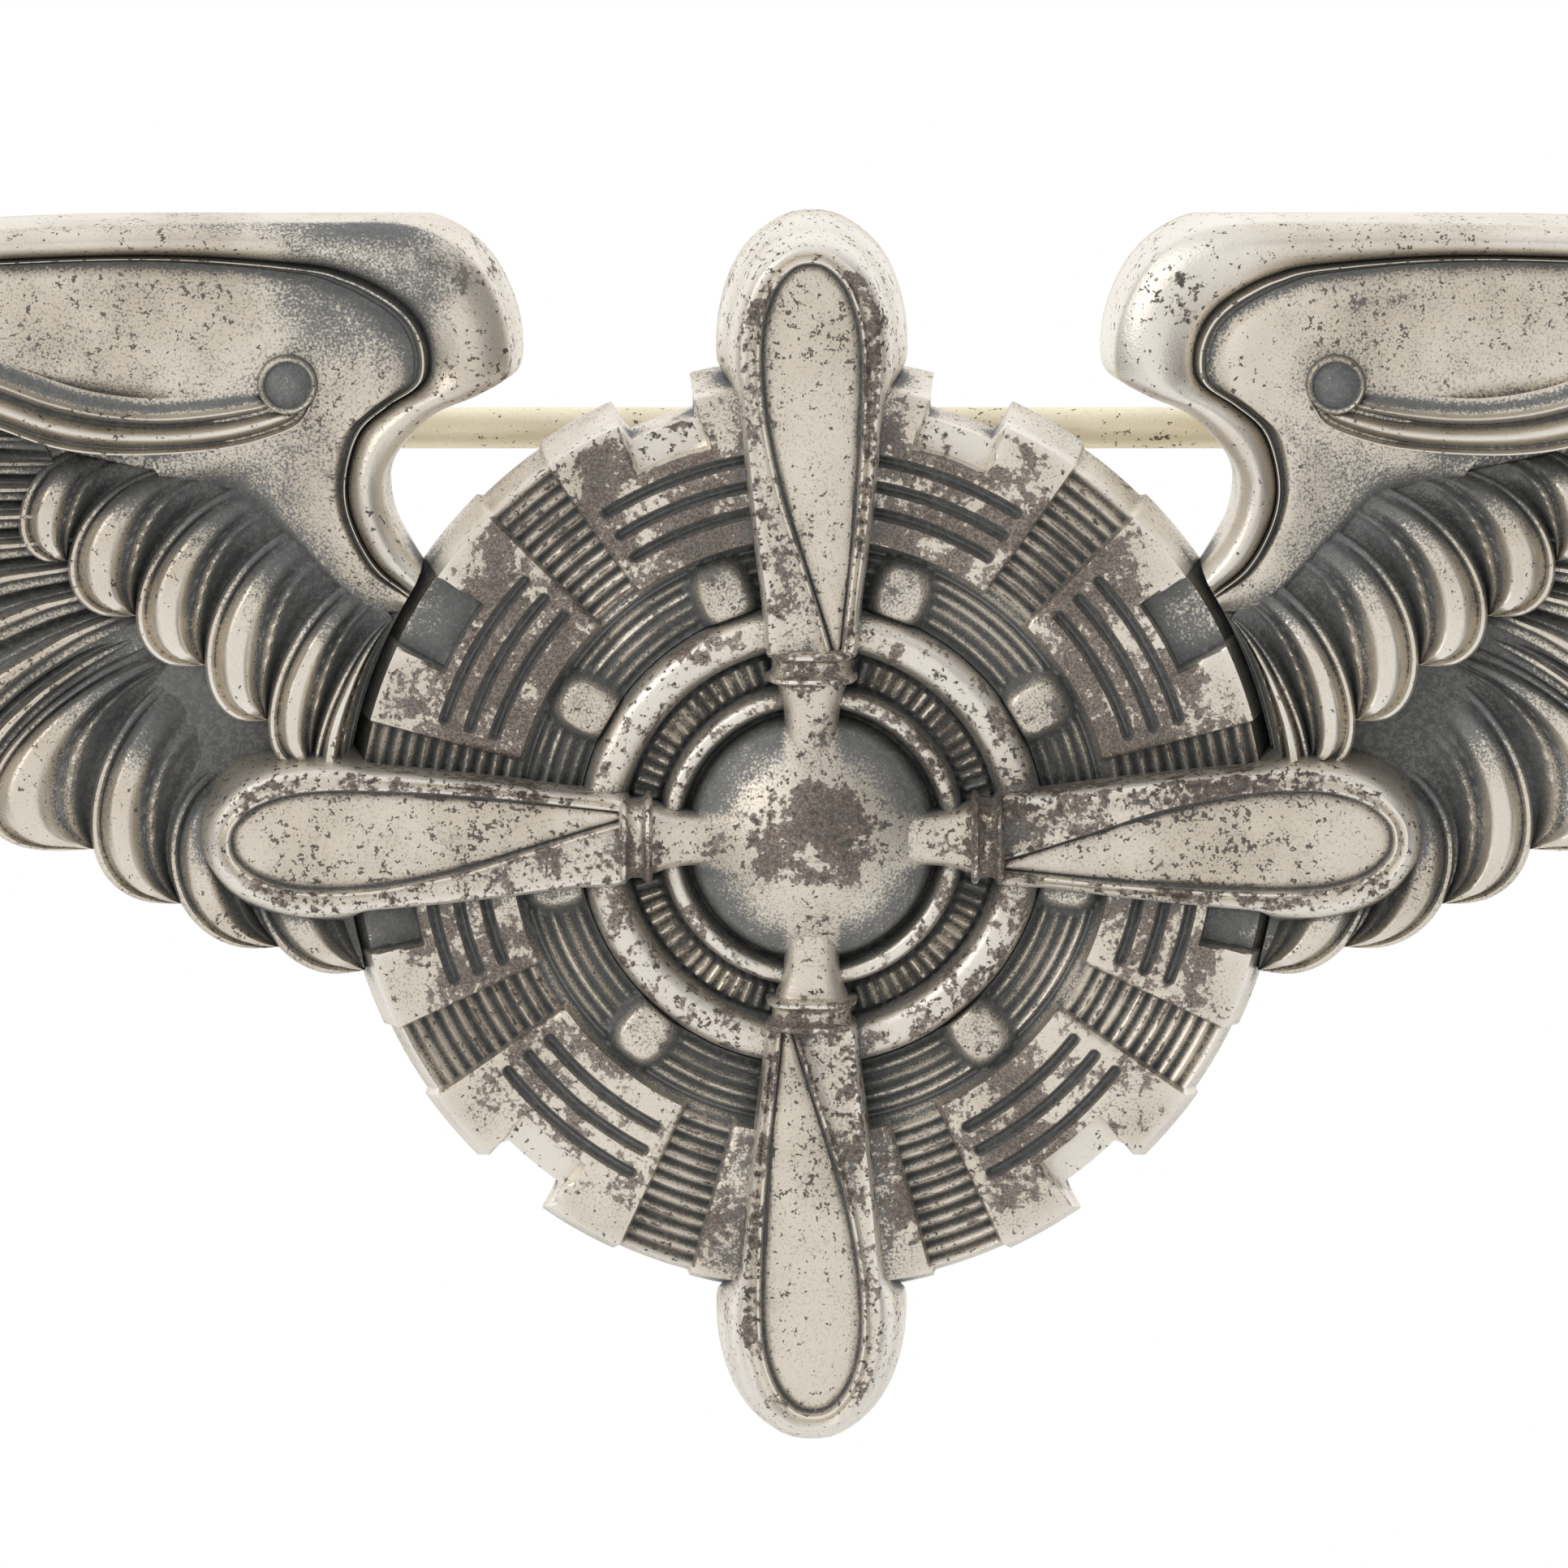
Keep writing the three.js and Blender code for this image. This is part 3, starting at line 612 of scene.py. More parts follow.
# The wing's outline, places along it, and the crest's two edges and the arm's foot at those places.
def leadingLines():
    share = np.linspace(0, 1, len(edgeStations))
    t = np.r_[np.linspace(0, 0.76, 270, endpoint=False), np.linspace(0.76, 1, 50)]
    lines = [through(line) for line in ([s[0] for s in edgeStations], [s[1] for s in edgeStations], armFoot)]
    o, i, f = (pick(line, np.interp(t, share, at)) for line, at in lines)
    return lines[0][0], t, o, i, f


def addCrest(bm, t, o, i):
    q = np.r_[-0.11, -0.09, -0.04, 0, 0.03, 0.07, 0.12, np.linspace(0.18, 0.8, 14), 0.835, 0.865, 0.89, 0.91,
              0.935, 0.96, 1.0][:, None]
    x, y = (o[None, :, k] + (i - o)[None, :, k] * q for k in (0, 1))
    fade = ease(1.0, 0.9, t)[None, :]
    h = 1.36 + 0.68 * np.clip(1 - np.abs((q - 0.42) / 0.5) ** 2.1, 0, 1) * (0.55 + 0.45 * fade)
    h = np.where(q > 0.82, 1.46 + 0.4 * bump(q, 0.9, 0.055), h)
    h = np.where(q < 0.01, 1.36 + q * 11.5, h)
    # The crest's outer wall (q below 0.02) is painted lighter: a painted reflection. Its two grooves are
    # painted darker.
    shade = 0.7 * bump(q, 0.83, 0.04) + 0.9 * bump(q, 0.98, 0.04) - 0.3 * (q < 0.02)
    patch(bm, x, y, h - 0.2 * (1 - fade) * (q > 0), 0.03, shade + 0 * h)


# The smooth arm and neck, sinking under the feathers.
def addArm(bm, t, i, f):
    q = np.linspace(0, 1, 40)[:, None]
    x, y = (i[None, :, k] + (f - i)[None, :, k] * q for k in (0, 1))
    neck = ease(0.46, 0.24, t)[None, :]
    h = 1.54 + 0.14 * ease(0, 0.1, q) + 0.04 * bump(q, 0.4, 0.4) - neck * 0.3 * ease(0.05, 0.8, q)
    h = h - 0.5 * ease(0.7, 1.0, q) - 0.22 * ease(0.1, 0.0, t)[None, :] - 0.25 * ease(0.85, 1.0, t)[None, :]
    # The neck is painted darker towards its foot: a painted shade of its downward slope.
    shade = 0.6 * ease(0.05, 0.0, q) + neck * (0.12 + 0.3 * ease(0.45, 0.95, q))
    patch(bm, x, y, h, 0.4, shade)


def addScroll(bm):
    u = np.linspace(0, 1, 150)
    top, bottom = pick(smoothLine(scroll["top"]), u), pick(smoothLine(scroll["foot"]), u)
    q = np.linspace(0, 1, 44)[:, None]
    x, y = (top[None, :, k] + (bottom - top)[None, :, k] * q for k in (0, 1))
    h = 1.7 + 0.18 * ease(0.0, 0.3, q) + 0.22 * bump(q, 0.34, 0.08) - 0.22 * ease(0.37, 0.5, q)
    h = h + 0.34 * bump(q, 0.68, 0.18) ** 0.7 + 0.3 * bump(q, 0.94, 0.05) + 0.06 * ease(0.85, 0.96, q)
    h = h - 0.3 * ease(0.985, 1.0, q) - 0.15 * ease(0.75, 1, u)[None, :]
    ballX, ballY = scroll["ball"]
    edge = scroll["ballRadius"]
    h = h - 0.4 * ease(edge + 0.02, edge - 0.12, np.hypot(x - ballX, y - ballY))
    shade = 0.75 * bump(q, 0.17, 0.17) + 0.7 * bump(q, 0.49, 0.07)
    shade = shade + 0.8 * bump(q, 0.87, 0.04) - 0.1 * bump(q, 0.68, 0.1)
    patch(bm, x, y, h, 0.5, shade + 0 * h)
    profile = [(0, 1.98), (0.15, 1.975), (0.3, 1.95), (0.42, 1.9), (0.48, 1.89), (0.53, 1.97), (0.58, 2.0),
               (0.63, 1.95), (edge, 1.7), (edge, 1.0), (0, 1.0)]
    spinProfile(bm, profile, 56, scroll["ball"], (0.7, 0.7, 0.8, 0.95, 1.0, 0.5, 0.25, 0.5, 0.7, 0.7, 0))


# The feathers, from the lowest row to the highest.
def addFeathers(bm):
    flight = primaryEdges()
    second = rowOfEdges([secondaryEdge(*s) for s in secondaries["feathers"]], secondaries["last"])
    between = dict(primaries, floor=0.25)
    feather(bm, second[0], flight[0], 0.8, between, between["level"])  # closes the gap between the two rows
    for j in range(primaries["count"]):
        meets = primaries["meets"] if j < primaries["count"] - 1 else 1.0
        level = primaries["level"] + primaries["step"] * (j + 1)
        feather(bm, flight[j], flight[j + 1], meets, primaries, level, rise=0.1, columns=64)
    for j, shape in enumerate(secondaries["feathers"]):
        level = secondaries["level"] + secondaries["step"] * j
        feather(bm, second[j], second[j + 1], shape[3], secondaries, level)
    row = rowOfEdges([covertEdge(*c) for c in coverts["feathers"]], coverts["last"])
    for j, shape in enumerate(coverts["feathers"]):
        feather(bm, row[j], row[j + 1], shape[3], coverts, coverts["level"] + coverts["step"] * j)
    small = lesserCoverts
    first, last = np.array(small["from"]), np.array(small["to"])
    lesser = []
    for k in range(small["count"] + 1):
        root = first + (last - first) * k / small["count"]
        end = root + np.array([0.75, -0.66]) * small["length"]
        lesser.append(bezier(root, root + (1.25, -0.25), end + (0.9, -0.1), end + (-0.1, 0)))
    for k in range(small["count"]):
        feather(bm, lesser[k + 1], lesser[k], 0.62, small, small["level"] - 0.02 * k, columns=30)
    return flight, second


# The plate behind everything, with the flat back.
def addPlate(bm, outer, flight, second):
    silhouette = [outer[::8]]
    for j in range(primaries["count"] - 1, -1, -1):
        start = primaries["meets"] if j else 0.8
        silhouette.append(pick(flight[j], np.linspace(1, start, 14)))
    for j in range(len(secondaries["feathers"])):
        start = secondaries["feathers"][j - 1][3] if j else 0.9
        silhouette.append(pick(second[j], np.linspace(start, 1, 12)))
    low, high = (math.atan2(silhouette[k][at][1], silhouette[k][at][0]) for k, at in ((-1, -1), (0, 0)))
    alongDisc = np.linspace(low, high, 26)[1:-1]
    silhouette.append((discRadius - wingGap) * np.stack([np.cos(alongDisc), np.sin(alongDisc)], 1))
    plate = [bm.verts.new(Vector((px, 0, py)) * mm) for px, py in np.vstack(silhouette)]
    bmesh.ops.remove_doubles(bm, verts=plate, dist=1e-5)
    face = bm.faces.new([v for v in plate if v.is_valid])
    raised = bmesh.ops.extrude_face_region(bm, geom=[face])["geom"]
    bmesh.ops.translate(bm, verts=vertsOf(raised), vec=(0, -plateThickness * mm, 0))


# Nothing reaches into the engine's disc, or past the top.
def keepClear(bm):
    limit = (discRadius - wingGap) * mm
    for vert in bm.verts:
        vert.co.z = min(vert.co.z, (wingTop - topGap) * mm)
        r = math.hypot(vert.co.x, vert.co.z)
        if r < limit:
            outward = (limit - 0.05 * (limit - r)) / r
            vert.co.x *= outward
            vert.co.z *= outward


def makeWing():
    bm = bmesh.new()
    outer, t, o, i, f = leadingLines()
    addCrest(bm, t, o, i)
    addArm(bm, t, i, f)
    addScroll(bm)
    addPlate(bm, outer, *addFeathers(bm))
    keepClear(bm)
    return bm


def makeWings():
    right = makeWing()
    left = right.copy()
    bmesh.ops.scale(left, vec=(-1, 1, 1), verts=left.verts)
    finishPiece("right_wing_relief", right, "badge", "sterling_silver", "right_wing", tarnish="wing")
    finishPiece("left_wing_relief", left, "badge", "sterling_silver", "left_wing", tarnish="wing")


# The small fittings that the CAD shapes already give.
findings = {
    # CAD piece: the body it rides on, its finish, how much its edges are rounded
    "hinge_pad": ("badge", "sterling_silver", 0.12), "catch_pad": ("badge", "sterling_silver", 0.12),
    "hinge_bracket": ("badge", "nickel_silver", 0.06), "hinge_rivet": ("badge", "nickel_silver", 0.09),
    "catch_housing": ("badge", "nickel_silver", 0.07), "catch_rotor": ("rotor", "nickel_silver", 0.07),
}


# The CAD piece's own shape with its edges broken, so that nothing moves and nothing grows.
def makeFinding(node, body, slotName, rounding):
    bm = bmesh.new()
    bm.from_mesh(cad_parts[node].data)
    bmesh.ops.remove_doubles(bm, verts=bm.verts, dist=2e-6)
    bmesh.ops.dissolve_degenerate(bm, dist=1e-6, edges=bm.edges)
    bmesh.ops.dissolve_limit(bm, angle_limit=math.radians(1), verts=bm.verts, edges=bm.edges)
    sharp = [e for e in bm.edges if len(e.link_faces) == 2 and e.calc_face_angle(0) > math.radians(35)]
    bmesh.ops.bevel(bm, geom=sharp, offset=rounding * mm, affect="EDGES", segments=3, profile=0.5,
                    material=-1, clamp_overlap=True)
    finishPiece(node + "_finished", bm, body, slotName, node, tarnish="finding", unevenness=0)


pinWire = {"radius": 0.45, "eyeRadius": 0.95, "eyeHalf": 0.45, "hole": 0.43,
           "pointLength": 3.2, "pointRadius": 0.05}


# The wire turned about its own line, from the eye to its ground point, and the flat eye round the rivet.
def makeStem():
    w = pinWire
    low, high = (np.array(c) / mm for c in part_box("pin_stem"))
    eyeX = low[0] + w["eyeRadius"]
    lineY, lineZ = (low[1] + high[1]) / 2, (low[2] + high[2]) / 2
    bm = bmesh.new()
    end = high[0]
    profile = [(eyeX + 0.62, 0.0), (eyeX + 0.62, 0.3), (eyeX + 0.85, w["radius"])]
    profile += [(x, w["radius"]) for x in np.linspace(eyeX + 1.2, end - w["pointLength"], 40)]
    for k in np.linspace(0.08, 1, 22):
        r = w["pointRadius"] + (w["radius"] - w["pointRadius"]) * (1 - k ** 1.25)
        profile.append((end - w["pointLength"] * (1 - k), r))
    profile.append((end, 0.0))
    verts = [bm.verts.new(Vector((x, lineY, lineZ + r)) * mm) for x, r in profile]
    edges = [bm.edges.new(pair) for pair in zip(verts, verts[1:])]
    bmesh.ops.spin(bm, geom=verts + edges, cent=Vector((0, lineY, lineZ)) * mm, axis=(1, 0, 0),
                   angle=math.tau, steps=40, use_merge=True)
    eye = []
    for r, side in ((w["hole"], -1), (w["eyeRadius"], -1), (w["eyeRadius"], 1), (w["hole"], 1)):
        eye.append(bm.verts.new(Vector((eyeX + r, lineY, lineZ + side * w["eyeHalf"])) * mm))
    loop = [bm.edges.new((eye[k], eye[(k + 1) % 4])) for k in range(4)]
    bmesh.ops.spin(bm, geom=eye + loop, cent=Vector((eyeX, lineY, lineZ)) * mm, axis=(0, 0, 1),
                   angle=math.tau, steps=56, use_merge=True)
    bmesh.ops.remove_doubles(bm, verts=bm.verts, dist=1e-7)
    corners = [e for e in bm.edges if e.calc_face_angle(0) > math.radians(60)
               and max((v.co - Vector((eyeX, lineY, lineZ)) * mm).length for v in e.verts) < 1.2 * mm]
    bmesh.ops.bevel(bm, geom=corners, offset=0.1 * mm, affect="EDGES", segments=3, profile=0.5, material=-1,
                    clamp_overlap=True)
    finishPiece("pin_wire", bm, "stem", "nickel_silver", "pin_stem", tarnish="finding", unevenness=0)


makeCylinders()
makeRings()
makePropeller()
makeWings()
for nodeName, (bodyName, finishName, rounding) in findings.items():
    makeFinding(nodeName, bodyName, finishName, rounding)
makeStem()

# The survey of the front: its grid, and how far each average spreads, in millimetres.
hollows = {"grid": 0.08, "fine": 0.2, "broad": 0.75, "edge": 0.5}


def blurred(field, sigma):
    reach = max(1, int(3 * sigma / hollows["grid"]))
    k = np.exp(-0.5 * (np.arange(-reach, reach + 1) * hollows["grid"] / sigma) ** 2)
    k /= k.sum()
    for axis in (0, 1):
        field = np.apply_along_axis(lambda row: np.convolve(row, k, mode="same"), axis, field)
    return field


# The front's height on a fine grid, and that height averaged over small and larger neighbourhoods.
def surveyFront():
    corners, polygons = [], []
    for obj, tarnish in pieces:
        if tarnish == "finding":
            continue
        base = len(corners)
        corners.extend(v.co for v in obj.data.vertices)
        polygons.extend([base + i for i in p.vertices] for p in obj.data.polygons)
    tree = BVHTree.FromPolygons(corners, polygons)
    xs = np.arange(cadBox[0][0] / mm - 0.5, cadBox[1][0] / mm + 0.5, hollows["grid"])
    ys = np.arange(cadBox[0][2] / mm - 0.5, cadBox[1][2] / mm + 0.5, hollows["grid"])
    heights = np.zeros((len(ys), len(xs)))
    toBack = Vector((0, 1, 0))
    for j, y in enumerate(ys * mm):
        for i, x in enumerate(xs * mm):
            hit = tree.ray_cast((x, -0.01, y), toBack)[0]
            heights[j, i] = -hit.y / mm if hit else -1
    solid = (heights >= 0).astype(float)
    heights = heights * solid
    fields = {}
    for name in ("fine", "broad"):
        fields[name] = blurred(heights, hollows[name]) / np.maximum(blurred(solid, hollows[name]), 1e-3)
    fields["cover"] = blurred(solid, hollows["edge"])
    return xs, ys, fields


def sampled(xs, ys, field, x, y):
    i = np.clip((x - xs[0]) / hollows["grid"], 0, len(xs) - 1.001)
    j = np.clip((y - ys[0]) / hollows["grid"], 0, len(ys) - 1.001)
    i0, j0 = i.astype(int), j.astype(int)
    di, dj = i - i0, j - j0
    return ((field[j0, i0] * (1 - di) + field[j0, i0 + 1] * di) * (1 - dj)
            + (field[j0 + 1, i0] * (1 - di) + field[j0 + 1, i0 + 1] * di) * dj)


def tarnishOf(kind, x, y, h):
    r = np.hypot(x, y)
    if kind == "heads":
        onTop = np.where(r > 6.4, 0.7 + 0.1 * (y > 0) - 0.3 * ease(8.7, 9.5, r), 0.42)
        return np.where(h > headsFrom, onTop, 0.3) * ease(9.95, 9.7, r)
    if kind == "rings":
        return np.full_like(r, 0.72)
    if kind == "wing":
        hook = ease(13.0, 9.0, np.abs(x)) * ease(8.6, 9.4, y)
        return 0.28 + hook * np.where(x < 0, 0.22, 0.12)
    if kind == "propeller":
        middle = 0.3 * ease(0.5, 0.1, np.hypot(x, y + 0.2))
        patch = 0.98 * ease(1.7, 0.9, np.hypot(x * 0.8, y - 0.25)) - middle
        alongShank = 0.55 * ease(0.5, 0.25, np.minimum(np.abs(x), np.abs(y))) * (r < 3.4)
        onHub = np.maximum(np.maximum(patch, alongShank), 0.25)
        strip = (h > blade["face"] - 0.07) | ((h < blade["face"] - 0.17) & (r < 9.6))
        onBlade = np.where(strip & (r < 12.4), 0.72, 0.34)
        return np.where(r < 3.4, onHub, np.where(r < 4.2, 0.85, onBlade))
    return np.full_like(r, 0.25)


def markHollowsAndPaintedLight():
    xs, ys, fields = surveyFront()
    for obj, kind in pieces:
        co = np.empty(len(obj.data.vertices) * 3)
        obj.data.vertices.foreach_get("co", co)
        x, h, y = co.reshape(-1, 3).T / mm * np.array([[1], [-1], [1]])
        fine, broad, cover = (sampled(xs, ys, fields[k], x, y) for k in ("fine", "broad", "cover"))
        shade = np.zeros(len(obj.data.vertices), np.float32)
        if "shade" in obj.data.attributes:
            obj.data.attributes["shade"].data.foreach_get("value", shade)
        deepAndPaintedLight = 1.5 * (fine - h) + 0.75 * (broad - h)
        atEdge = np.clip(2 * cover - 1, 0, 1)
        worn = 1.0 if kind in ("heads", "rings") else 0.6
        deepAndPaintedLight = np.where(deepAndPaintedLight > 0, deepAndPaintedLight * ease(0.0, 0.75, atEdge), deepAndPaintedLight * worn)
        if kind == "heads":  # the cylinders' faces are worn bright
            deepAndPaintedLight = np.where(h > headsFrom, deepAndPaintedLight * 0.5, deepAndPaintedLight)
        deepAndPaintedLight = deepAndPaintedLight + shade
        if kind == "finding":
            deepAndPaintedLight = np.zeros_like(deepAndPaintedLight)
        if kind == "wing":  # the left wing's hook and the top of its crest are the darker ones; the right wing's hook is painted lighter, a painted highlight where it faces the light from the left
            onHook = ease(2.3, 0.9, np.hypot((x + 9.6) * 0.8, y - 12.1)) * ease(1.45, 1.6, h)
            deepAndPaintedLight = deepAndPaintedLight + (x < 0) * (0.5 * onHook + 0.26 * ease(12.75, 13.15, y) * ease(20, 8, -x))
            deepAndPaintedLight = deepAndPaintedLight - (x > 0) * 0.3 * ease(10.5, 9.0, x) * ease(8.8, 9.6, y)
        if kind == "propeller":
            beside = ease(0.45, 0.7, np.minimum(np.abs(x), np.abs(y)))
            deepAndPaintedLight = deepAndPaintedLight + (0.12 + 0.72 * ease(1.4, 2.5, np.hypot(x, y)) * beside) * (np.hypot(x, y) < 2.8)
        stain = tarnishOf(kind, x, y, h)
        if kind != "finding":  # the back is plainer
            deepAndPaintedLight, stain = np.where(h < backTo, -0.04, deepAndPaintedLight), np.where(h < backTo, 0.2, stain)
        # These values are each place's hollow depth with painted shade and painted highlight added.
        for name, values in (("hollowAndPaintedLight", np.clip(deepAndPaintedLight, -1, 1.5)), ("tarnish", stain)):
            attribute = obj.data.attributes.new(name, "FLOAT", "POINT")
            attribute.data.foreach_set("value", values.astype(np.float32))


markHollowsAndPaintedLight()
print("hollows marked")


class Shade:
    # One socket of a material, so that its maths reads as plain expressions.
    def __init__(self, tree, socket=None):
        self.tree, self.socket = tree, socket

    def node(self, kind, settings=None, values=None, out=0):
        made = self.tree.nodes.new(kind)
        for key, value in (settings or {}).items():
            setattr(made, key, value)
        for key, value in (values or {}).items():
            if isinstance(value, Shade):
                self.tree.links.new(value.socket, made.inputs[key])
            else:
                made.inputs[key].default_value = value
        return Shade(self.tree, made.outputs[out])

    def maths(self, operation, a, b):
        return self.node("ShaderNodeMath", {"operation": operation}, {0: a, 1: b})

    def __add__(self, other):
        return self.maths("ADD", self, other)

    def __sub__(self, other):
        return self.maths("SUBTRACT", self, other)

    def __rsub__(self, other):
        return self.maths("SUBTRACT", other, self)

    def __mul__(self, other):
        return self.maths("MULTIPLY", self, other)

    __radd__, __rmul__ = __add__, __mul__

    def between(self, low, high):
        return self.node("ShaderNodeMapRange", {"interpolation_type": "SMOOTHSTEP"},
                         {"Value": self, "From Min": low, "From Max": high})

    def mixed(self, a, b):
        settings = {"data_type": "RGBA", "blend_type": "MIX"}
        colours = {k: v if isinstance(v, Shade) else (*v, 1) for k, v in ((6, a), (7, b))}
        return self.node("ShaderNodeMix", settings, {0: self, **colours}, out=2)


# The lightest colour stands for worn high points and also for painted highlights and painted reflections.
silver = {
    "bright": (0.78, 0.725, 0.635), "warm": (0.62, 0.555, 0.46), "polishedAndPaintedHighlight": (0.93, 0.9, 0.85),
    "oxide": (0.17, 0.176, 0.178), "deepOxide": (0.095, 0.097, 0.095), "wornOxide": (0.33, 0.325, 0.31),
    "brown": (0.13, 0.094, 0.08), "fadedBrown": (0.42, 0.37, 0.32), "pit": (0.06, 0.052, 0.045),
    "rough": 0.35, "pitFrom": 0.625,
    "grain": 0.055, "speck": 0.16, "blotch": 0.8, "cloud": 3.2,
}


def agedSilver(name, darkFrom, darkTo, brownFrom, colours=silver):
    c = colours
    material = bpy.data.materials.new(name)
    material.use_nodes = True
    tree = material.node_tree
    finish = tree.nodes["Principled BSDF"]
    s = Shade(tree)
    spot = s.node("ShaderNodeTexCoord", out=3)
    hollowAndPaintedLight = s.node("ShaderNodeAttribute", {"attribute_name": "hollowAndPaintedLight"}, out=2)
    tarnish = s.node("ShaderNodeAttribute", {"attribute_name": "tarnish"}, out=2)

    def noiseOf(size, detail, roughness=0.5, distortion=0.0):
        return s.node("ShaderNodeTexNoise", None, {"Vector": spot, "Scale": 1 / (size * mm), "Detail": detail,
                                                   "Roughness": roughness, "Distortion": distortion})

    grain, speck = noiseOf(c["grain"], 1), noiseOf(c["speck"], 2, 0.6)
    blotch, cloud = noiseOf(c["blotch"], 6, 0.68, 0.4), noiseOf(c["cloud"], 3, 0.55)
    depth = hollowAndPaintedLight + (grain - 0.5) * 1.3 + (blotch - 0.5) * 0.5 + (cloud - 0.5) * 0.5
    dark = depth.between(darkFrom, darkTo)
    stain = blotch * 0.85 + speck * 0.55 + grain * 0.12 - 0.135 + tarnish * 0.42 + (cloud - 0.5) * 0.35
    brown = stain.between(brownFrom, brownFrom + 0.07)
    pits = speck * 0.7 + grain * 0.3 + (cloud - 0.5) * 0.3 + tarnish * 0.06
    pits = pits.between(c["pitFrom"], c["pitFrom"] + 0.04)
    colour = cloud.between(0.35, 0.7).mixed(c["bright"], c["warm"])
    colour = (grain.between(0.45, 0.75) * 0.35).mixed(colour, c["warm"])
    # Lighter where the hollow values are negative: worn high points, and painted highlights and painted
    # reflections on walls, notch ramps and the right wing's hook.
    colour = ((0 - hollowAndPaintedLight).between(0.05, 0.5) * 0.6).mixed(colour, c["polishedAndPaintedHighlight"])
    worn = (speck * 0.5 + grain * 0.5).between(0.44, 0.6)
    colour = (brown * 0.92).mixed(colour, (worn * 0.85).mixed(c["brown"], c["fadedBrown"]))
    colour = (pits * 0.85).mixed(colour, c["pit"])
    oxide = (hollowAndPaintedLight + (cloud - 0.5) * 0.6).between(0.5, 1.5).mixed(c["oxide"], c["deepOxide"])
    oxide = (worn * 0.35).mixed(oxide, c["wornOxide"])
    colour = dark.mixed(colour, oxide)
    rough = c["rough"] + grain * 0.12 + dark * 0.12 + brown * 0.15 + cloud * 0.06
    metal = 1 - brown * 0.3 - dark * 0.4 - pits * 0.2
    relief = grain * 0.4 + speck * 0.45 - pits * 0.8 - brown * 0.3 + blotch * 0.5
    bumped = s.node("ShaderNodeBump", None, {"Strength": 0.45, "Distance": 0.035 * mm, "Height": relief})
    for key, value in (("Base Color", colour), ("Roughness", rough), ("Metallic", metal), ("Normal", bumped)):
        tree.links.new(value.socket, finish.inputs[key])
    return material


nickel = dict(silver, bright=(0.92, 0.85, 0.68), warm=(0.8, 0.72, 0.53), brown=(0.2, 0.15, 0.09), rough=0.42)
pitted = dict(silver, pitFrom=0.6, rough=0.38)
finishes = {
    "wing": agedSilver("struckSilver", -0.02, 0.55, 0.93),
    "propeller": agedSilver("propellerSilver", -0.02, 0.7, 0.9, pitted),
    "heads": agedSilver("engineSilver", -0.12, 0.45, 0.86),
    "rings": agedSilver("ringSilver", -0.12, 0.4, 0.92),
    "finding": agedSilver("nickelSilver", 0.6, 1.4, 1.0, nickel),
}
for obj, kind in pieces:
    obj.data.materials.append(finishes[kind])
print("finishes done")

# elevation in degrees, distance in metres, the rest in millimetres
view = {"elevation": 8.5, "distance": 0.42, "width": 33.9, "aimX": -0.6, "aimY": 1.17, "aimH": 1.8}
studio = {
    "room": 0.16, "behind": 1.0, "above": 0.75, "floorRadius": 200.0, "floorLevel": -60.0,
    # angle round to the right, angle up, distance, width, brightness, tint
    "softboxes": [(0, -5, 0.6, 0.74, 0.8, (1.0, 0.985, 0.955)), (-52, 23, 0.55, 0.46, 2.0, (1.0, 0.98, 0.95)),
                  (50, 10, 0.6, 0.2, 0.7, (0.94, 0.97, 1.0))],
}


def makeCamera():
    v = view
    camera = bpy.data.cameras.new("camera")
    camera.sensor_width = 36
    camera.lens = 36 * v["distance"] / (v["width"] * mm)
    camera.clip_start, camera.clip_end = 0.01, 5
    obj = bpy.data.objects.new("camera", camera)
    bpy.context.scene.collection.objects.link(obj)
    aim = Vector((v["aimX"], -v["aimH"], v["aimY"])) * mm
    tilt = math.radians(v["elevation"])
    obj.location = aim + Vector((0, -math.cos(tilt), math.sin(tilt))) * v["distance"]
    obj.rotation_euler = (aim - obj.location).to_track_quat("-Z", "Y").to_euler()
    bpy.context.scene.camera = obj


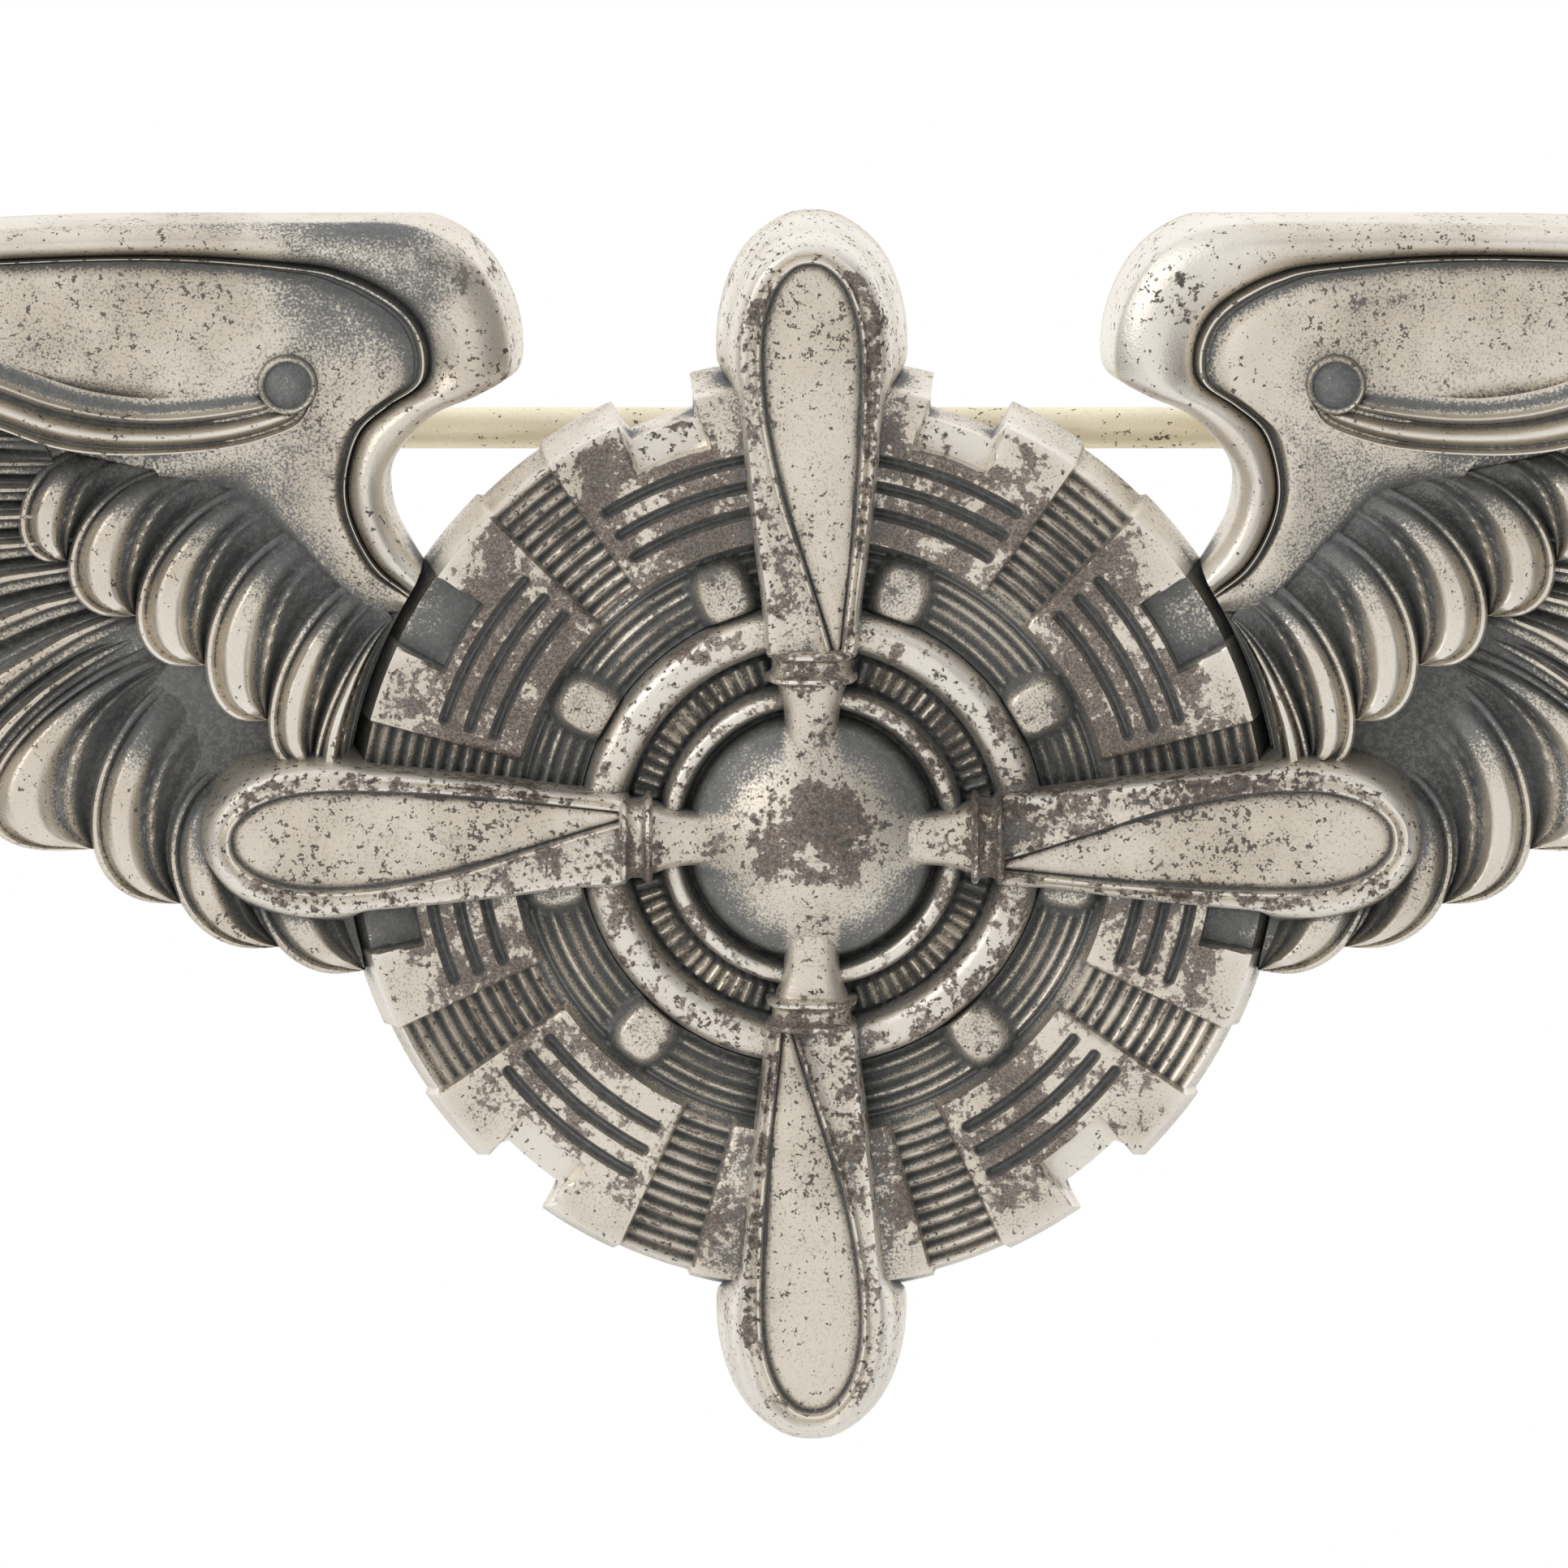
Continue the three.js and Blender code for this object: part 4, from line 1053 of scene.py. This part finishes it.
# White all round to the eye. What the metal sees is white behind the badge and dim in front of it.
def makeWorld():
    world = bpy.data.worlds.new("studio")
    bpy.context.scene.world = world
    world.use_nodes = True
    tree = world.node_tree
    s = Shade(tree)
    toward = s.node("ShaderNodeTexCoord", out=0)
    parts = s.node("ShaderNodeSeparateXYZ", None, {0: toward})
    behind = Shade(tree, parts.socket.node.outputs[1]).between(-0.05, 0.5)
    above = Shade(tree, parts.socket.node.outputs[2]).between(0.25, 0.9)
    level = studio["room"] + behind * studio["behind"] + above * (1 - behind) * studio["above"]
    seen = s.node("ShaderNodeLightPath", out=0)
    strength = seen + (1 - seen) * level
    tree.links.new(strength.socket, tree.nodes["Background"].inputs["Strength"])
    tree.nodes["Background"].inputs["Color"].default_value = (1, 1, 1, 1)


def makeSoftboxes():
    for k, (turn, lift, distance, width, brightness, tint) in enumerate(studio["softboxes"]):
        light = bpy.data.lights.new("softbox" + str(k + 1), "AREA")
        light.shape, light.size, light.color = "DISK", width, tint
        light.energy = brightness * math.pi ** 2 * width ** 2 / 4
        obj = bpy.data.objects.new(light.name, light)
        turn, lift = math.radians(turn), math.radians(lift)
        level = math.cos(lift)
        toward = Vector((math.sin(turn) * level, -math.cos(turn) * level, math.sin(lift)))
        obj.location = toward * distance
        obj.rotation_euler = (-obj.location).to_track_quat("-Z", "Y").to_euler()
        obj.visible_camera = False
        bpy.context.scene.collection.objects.link(obj)


def makeFloor():
    bm = bmesh.new()
    bmesh.ops.create_circle(bm, cap_ends=True, segments=96, radius=studio["floorRadius"] * mm)
    bmesh.ops.translate(bm, verts=bm.verts, vec=(0, 0, studio["floorLevel"] * mm))
    bmesh.ops.recalc_face_normals(bm, faces=bm.faces)
    mesh = bpy.data.meshes.new("floor")
    bm.to_mesh(mesh)
    bm.free()
    paper = bpy.data.materials.new("paleFloor")
    paper.use_nodes = True
    finish = paper.node_tree.nodes["Principled BSDF"]
    finish.inputs["Base Color"].default_value = (0.86, 0.86, 0.85, 1)
    finish.inputs["Roughness"].default_value = 0.9
    mesh.materials.append(paper)
    obj = bpy.data.objects.new("floor", mesh)
    bpy.context.scene.collection.objects.link(obj)


makeCamera()
makeWorld()
makeSoftboxes()
makeFloor()
bpy.context.scene.view_settings.view_transform = "Standard"
